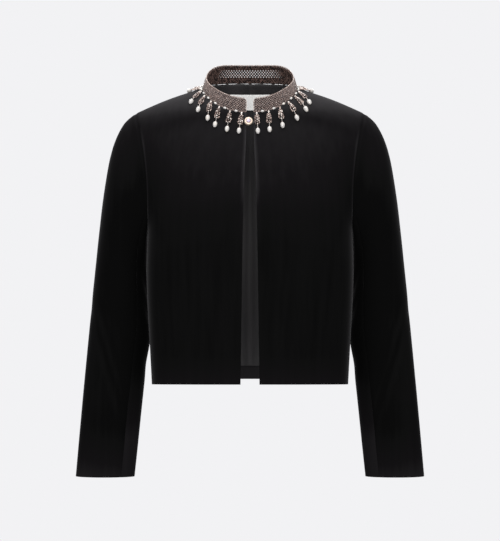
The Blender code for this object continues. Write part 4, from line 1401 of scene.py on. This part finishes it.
def drop_path(distance, lean):
    """Steps down over the cloth from the neckline, each along the cloth and then to its nearest point."""
    start, ahead = neckline(neck_angle(np.array([distance, distance + NECK_STEP])))
    out = unit(np.array([(ahead - start)[1], -(ahead - start)[0], 0.0]))
    away = unit(ahead - start) * (lean if distance < NECK_LENGTH / 2 else -lean)
    heading = Vector(unit(out * DROP_SPLAY + away + np.array([0, 0, -DROP_FALL])))
    here = Vector(start + DROP_START * out)
    points, ups = [], []
    for step, thick in zip(np.diff(DROP_STOPS, prepend=0.0), column(DROP_PROFILE, 2)):
        hit, up, _, _ = cloth_tree.find_nearest(here)
        onward = heading - up * up.dot(heading)
        here, up, _, _ = cloth_tree.find_nearest(hit + onward.normalized() * step)
        points.append(np.array(here + up * (thick + DROP_CLEARANCE)))
        ups.append(np.array(up))
    return np.array(points), np.array(ups)


# The last drops of the two sides are each half a space from the centre back
drop_places = {}
for side, first in FIRST_DROP.items():
    spacing = (NECK_LENGTH / 2 - first) / (DROPS_EACH_SIDE - 0.5)
    distances = first + spacing * np.arange(DROPS_EACH_SIDE)
    drop_places[side] = distances if side == "left" else NECK_LENGTH - distances
print("drops every", np.round(np.diff(drop_places["left"])[0] * 1000, 1), "mm")

# %% Beads, wire and pearl of a drop
LEAF_ROWS = 5
LEAF_FIRST = 0.0064
LEAF_STEP = 0.0031
LEAF_TILT = 1.0
LEAF_INSET = 0.0010
MIDDLE_ROW_UP = 0.0010
WIRE_ENDS = np.array([0.0200, 0.0292])
WIRE_RADIUS = 0.00042
WIRE_TONE = 0.6
PEARL_ENDS = np.array([0.0289, 0.0392])
PEARL_RADIUS = 0.0036
PEARL_EGG = 0.10
PEARL_RINGS = 13
PEARL_SIDES = 18
LEAST_TONE = 0.1
leaf_at = LEAF_FIRST + LEAF_STEP * np.arange(LEAF_ROWS)
leaf_half = np.interp(leaf_at, DROP_STOPS, column(DROP_PROFILE, 1)) - LEAF_INSET
# Beads of a drop: distance, place across, lift, length, radius, tilt, tone
LEAF_BEADS = np.concatenate([
    [(0.0018, 0, 0.0002, 0.0034, 0.0016, 0, 1.0), (0.0046, 0, 0, 0.0022, 0.0012, 0, 0.88)],
    np.stack(np.broadcast_arrays(leaf_at, leaf_half, 0, 0.0034, 0.00110, LEAF_TILT, 0.60), axis=-1),
    np.stack(np.broadcast_arrays(leaf_at, -leaf_half, 0, 0.0034, 0.00110, -LEAF_TILT, 0.60), axis=-1),
    np.stack(np.broadcast_arrays(leaf_at - MIDDLE_ROW_UP, 0, 0.0012, 0.0022, 0.00115, 0, 0.84), axis=-1),
    [(0.0211, s * 0.0027, 0, 0.0022, 0.0011, 0.5 * s, 0.70) for s in (-1, 0, 1)],
    [(0.0287, 0, 0, 0.0018, 0.0012, 0, 0.75)],
])
# How unevenly the beads lie: spread of the distance, place across, lift, length, radius, tilt and tone
LEAF_SPREAD = np.array([0.0003, 0.0003, 0.0002, 0.0003, 0.0001, 0.18, 0.16])


def along_path(points, at):
    """A path's points, or its directions, at some distances, straight between its stops."""
    return np.stack([np.interp(at, DROP_STOPS, points[:, k]) for k in range(3)], axis=-1)


def drop_parts(points, ups):
    """A drop's beads, wire and pearl, set along its path."""
    tangent = unit(np.gradient(points, axis=0))
    across = unit(np.cross(tangent, ups))
    away = np.cross(across, tangent)
    uneven = LEAF_BEADS + draw.normal(0, 1, LEAF_BEADS.shape) * LEAF_SPREAD
    at, aside, lift, length, radius, tilt, tone = uneven.T
    along, sideways, up = (unit(along_path(way, at)) for way in (tangent, across, away))
    centres = along_path(points, at) + sideways * aside[:, None] + up * lift[:, None]
    axes = along * np.cos(tilt)[:, None] + sideways * np.sin(tilt)[:, None]
    leaf = beads(centres, axes, up, length, radius, tone.clip(LEAST_TONE, 1.0))
    wire_ends = along_path(points, WIRE_ENDS)
    wire_run = float(np.linalg.norm(wire_ends[1] - wire_ends[0]))
    wire_middle, wire_way = wire_ends.mean(axis=0)[None], np.diff(wire_ends, axis=0)
    wire = beads(wire_middle, wire_way, up[-1:], wire_run, WIRE_RADIUS, WIRE_TONE, finish=2)
    ends = along_path(points, PEARL_ENDS)
    swing = np.linspace(0, math.pi, PEARL_RINGS)
    reach = float(np.linalg.norm(ends[1] - ends[0]))
    heights = -reach / 2 * np.cos(swing)[None]
    radii = PEARL_RADIUS * (np.sin(swing) * (1 + PEARL_EGG * np.cos(swing)))[None]
    middle, way = ends.mean(axis=0)[None], np.diff(ends, axis=0)
    drop = turned(middle, way, up[-1:], heights, radii, PEARL_SIDES, finish=1)
    return [leaf, wire, drop]


# %% Hang the drops
drop_finishes = [bead_glass, pearl, silver_wire]
for side, places in drop_places.items():
    leans = DROP_LEANS[side] + (0.0,) * (DROPS_EACH_SIDE - len(DROP_LEANS[side]))
    for number, (place, lean) in enumerate(zip(places, leans), 1):
        parts = drop_parts(*drop_path(place, lean))
        piece = add_beadwork(f"pearl_drop_{side}_{number:02d}", parts, drop_finishes)
        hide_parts(f"drop_{side}_{number:02d}")
print("made", 2 * DROPS_EACH_SIDE, "drops of", len(LEAF_BEADS), "beads and a pearl")

# %% [markdown]
# ## Edge pearls and tacks
# Between two drops a small oval pearl lies along the collar's edge. Seen from inside the back, these pearls
# and the drops' roots break the slit of light under the collar into dashes. A thread tack at each of them
# sews the collar down.

# %% Edge pearls and tacks
EDGE_PEARL = {"length": 0.0058, "radius": 0.0019}
EDGE_PEARL_OUT = 0.0018
EDGE_PEARL_UP = 0.0008
EDGE_PEARL_CLEAR = 0.0004
EDGE_PEARL_POWER = 0.8
EDGE_PEARL_RINGS = 9
EDGE_PEARL_SIDES = 12
ANGLE_STEP = 1e-3
# A tack's length and radius, and its upper end: the share of the collar's height and the depth in it
TACK = {"length": 0.0042, "radius": 0.0004, "share": 0.09, "depth": 0.002}

every_drop = np.sort(np.concatenate(list(drop_places.values())))
between_drops = (every_drop[1:] + every_drop[:-1]) / 2
edge_angle = neck_angle(between_drops)
edge_way = unit(neckline(edge_angle + ANGLE_STEP) - neckline(edge_angle - ANGLE_STEP))
edge_out = unit(np.stack([edge_way[:, 1], -edge_way[:, 0], np.zeros(len(edge_way))], axis=-1))
edge_centres = neckline(edge_angle) + edge_out * EDGE_PEARL_OUT + np.array([0, 0, EDGE_PEARL_UP])
for k, centre in enumerate(edge_centres):
    hit, up, _, _ = cloth_tree.find_nearest(Vector(centre))
    short = EDGE_PEARL["radius"] + EDGE_PEARL_CLEAR - (Vector(centre) - hit).dot(up)
    edge_centres[k] += np.array(up) * max(0.0, short)
swing = np.linspace(0, math.pi, EDGE_PEARL_RINGS)
oval = np.tile(-EDGE_PEARL["length"] / 2 * np.cos(swing), (len(edge_centres), 1))
girth = np.tile(EDGE_PEARL["radius"] * np.sin(swing) ** EDGE_PEARL_POWER, (len(edge_centres), 1))
edge_pearls = turned(edge_centres, edge_way, edge_out, oval, girth, EDGE_PEARL_SIDES)
add_beadwork("edge_pearls", [edge_pearls], [pearl])

tack_places = np.sort(np.concatenate([every_drop, between_drops]))
tack_low = neckline(neck_angle(tack_places))
tack_share, tack_depth = (np.full(len(tack_places), TACK[key]) for key in ("share", "depth"))
tack_high, tack_out = on_collar(tack_places, tack_share, tack_depth)
tacks = beads((tack_low + tack_high) / 2, tack_high - tack_low, tack_out, TACK["length"], TACK["radius"])
add_beadwork("collar_tacks", [tacks], [thread])
print(len(edge_centres), "edge pearls and", len(tack_places), "tacks")

# %% [markdown]
# ## Button and loop
# The two front edges are held at the neck by one jewelled button and a thin cord loop behind it. The button
# is turned from a profile: a pale gold cup with a rounded rim, and a domed lilac stone cut in flat facets,
# with glints painted into its colour. The cord's twist of about 0.7 mm is drawn at 1.1 mm.

# %% Button
BUTTON_X = -0.0024
BUTTON_Z = -0.0578
BUTTON_GAP = 0.0034
BUTTON_SPAN = 0.005
# Cup from its back to the seat of the stone, then the stone: height, radius
CUP = ((0.0, 0.0), (0.0, 0.0050), (0.0010, 0.0070), (0.0024, 0.0073), (0.0037, 0.0069), (0.0045, 0.0060),
       (0.0047, 0.0051), (0.0045, 0.0043), (0.0039, 0.0036), (0.0036, 0.0032), (0.0036, 0.0))
STONE = ((0.0037, 0.0), (0.0037, 0.0034), (0.0048, 0.0033), (0.0056, 0.0024), (0.0060, 0.0013), (0.0060, 0.0))
CUP_SIDES = 48
STONE_SIDES = 12
# Size of the glints painted on the stone
GLINT_SIZE = 0.0013


def make_stone():
    """Lilac cut glass: a clear glossy stone with painted glints and reflections in violet, grey and white."""
    made, shader = new_finish(
        "lilac_cut_glass", "#9a8fa0", Roughness=0.15, IOR=1.5, Coat_Weight=0.2, Coat_Roughness=0.08
    )
    place = add_node(made, "TexCoord", {})
    # Painted glints and reflections: patches of the stone painted white, grey and violet
    painted_glints = add_node(made, "TexVoronoi", {"Scale": 1 / GLINT_SIZE}, Vector=place.outputs["Object"])
    tone = add_node(
        made, "ValToRGB", {"stops": [(0.15, "#75688a"), (0.5, "#a396a8"), (0.85, "#ece6ea")]},
        Fac=painted_glints.outputs["Color"],
    )
    feed(made, shader, Base_Color=tone.outputs["Color"])
    return made


pale_gold = make_metal("pale_gold_plate", "#b8a899", roughness=0.42, scratch=0.0010)
stone_glass = make_stone()
print("made", pale_gold.name, stone_glass.name)

# %% Turn the button
edge_heights, edge_reach = column(FRONT_EDGE, 0), column(FRONT_EDGE, 1)
button_low, button_high = smooth(BUTTON_Z + np.array([-BUTTON_SPAN, BUTTON_SPAN]), edge_heights, edge_reach)
button_seat = np.array([[BUTTON_X, (button_low + button_high) / 2, BUTTON_Z]])
button_facing = unit(np.array([[0, -2 * BUTTON_SPAN, button_high - button_low]]))
button_base = button_seat + button_facing * BUTTON_GAP


def turned_on_button(profile, sides, finish):
    """The cup or the stone: a closed solid turned from its profile of heights and radii."""
    heights, radii = np.array(profile).T[:, None]
    up = np.array([[0.0, 0.0, 1.0]])
    return turned(button_base, button_facing, up, heights, radii, sides, finish=finish)


cup, stone = turned_on_button(CUP, CUP_SIDES, 0), turned_on_button(STONE, STONE_SIDES, 1)
button = add_beadwork("jewelled_button", [cup, stone], [pale_gold, stone_glass])
round_faces = np.array([face.material_index == 0 for face in button.data.polygons])
button.data.polygons.foreach_set("use_smooth", round_faces)
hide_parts("button")
print("the button has", len(button.data.polygons), "faces")

# %% Cord loop
LOOP_RADIUS = 0.0007
LOOP_X = 0.0011
LOOP_LENGTH = 0.0160
LOOP_WIDTH = 0.0040
LOOP_GAP = 3 * SEAM
LOOP_POWER = 0.3
LOOP_POINTS = 96
LOOP_SIDES = 10
CORD_TWIST = 0.0011


def make_cord():
    """Black rayon cord: a soft shine, and a twist of strands round it."""
    made, shader = new_finish("rayon_cord", "#0b0b0b", Roughness=0.5, Sheen_Weight=0.2)
    place = add_node(made, "TexCoord", {})
    strands = add_node(
        made, "TexWave", {"Scale": wave_scale(CORD_TWIST), "bands_direction": "DIAGONAL"},
        Vector=place.outputs["Object"],
    )
    bump = add_node(made, "Bump", {"Strength": 0.6, "Distance": 0.0003}, Height=strands.outputs["Fac"])
    feed(made, shader, Normal=bump.outputs["Normal"])
    return made


# %% Lay the loop
around = np.linspace(0, 2 * math.pi, LOOP_POINTS, endpoint=False)
straight = (LOOP_LENGTH - LOOP_WIDTH) / 2
sideways = np.array([1.0, 0, 0])
upward = np.cross(button_facing[0], sideways)
loop_x = LOOP_X + np.cos(around) * LOOP_WIDTH / 2 + straight * power(np.cos(around), LOOP_POWER)
loop_y = np.sin(around) * LOOP_WIDTH / 2
loop_line = button_seat + button_facing * (LOOP_RADIUS + LOOP_GAP) + loop_x[:, None] * sideways
loop_line = loop_line + loop_y[:, None] * upward
loop_way = unit(np.roll(loop_line, -1, axis=0) - np.roll(loop_line, 1, axis=0))
loop_side = np.cross(loop_way, button_facing)
spin = np.linspace(0, 2 * math.pi, LOOP_SIDES, endpoint=False)[:, None]
loop_rings = loop_line[:, None] + LOOP_RADIUS * (
    np.cos(spin) * button_facing[:, None] + np.sin(spin) * loop_side[:, None]
)
loop_index = np.arange(LOOP_POINTS * LOOP_SIDES).reshape(LOOP_POINTS, LOOP_SIDES)
next_ring, next_side = np.roll(loop_index, -1, axis=0), np.roll(loop_index, -1, axis=1)
corners = [loop_index, next_side, np.roll(next_ring, -1, axis=1), next_ring]
loop_faces = np.stack(corners, axis=-1).reshape(-1, 4)
loop = add_piece("cord_loop", loop_rings.reshape(-1, 3), loop_faces, [make_cord()])
dress(loop, "button_loop")
print("the loop has", len(loop_faces), "faces")
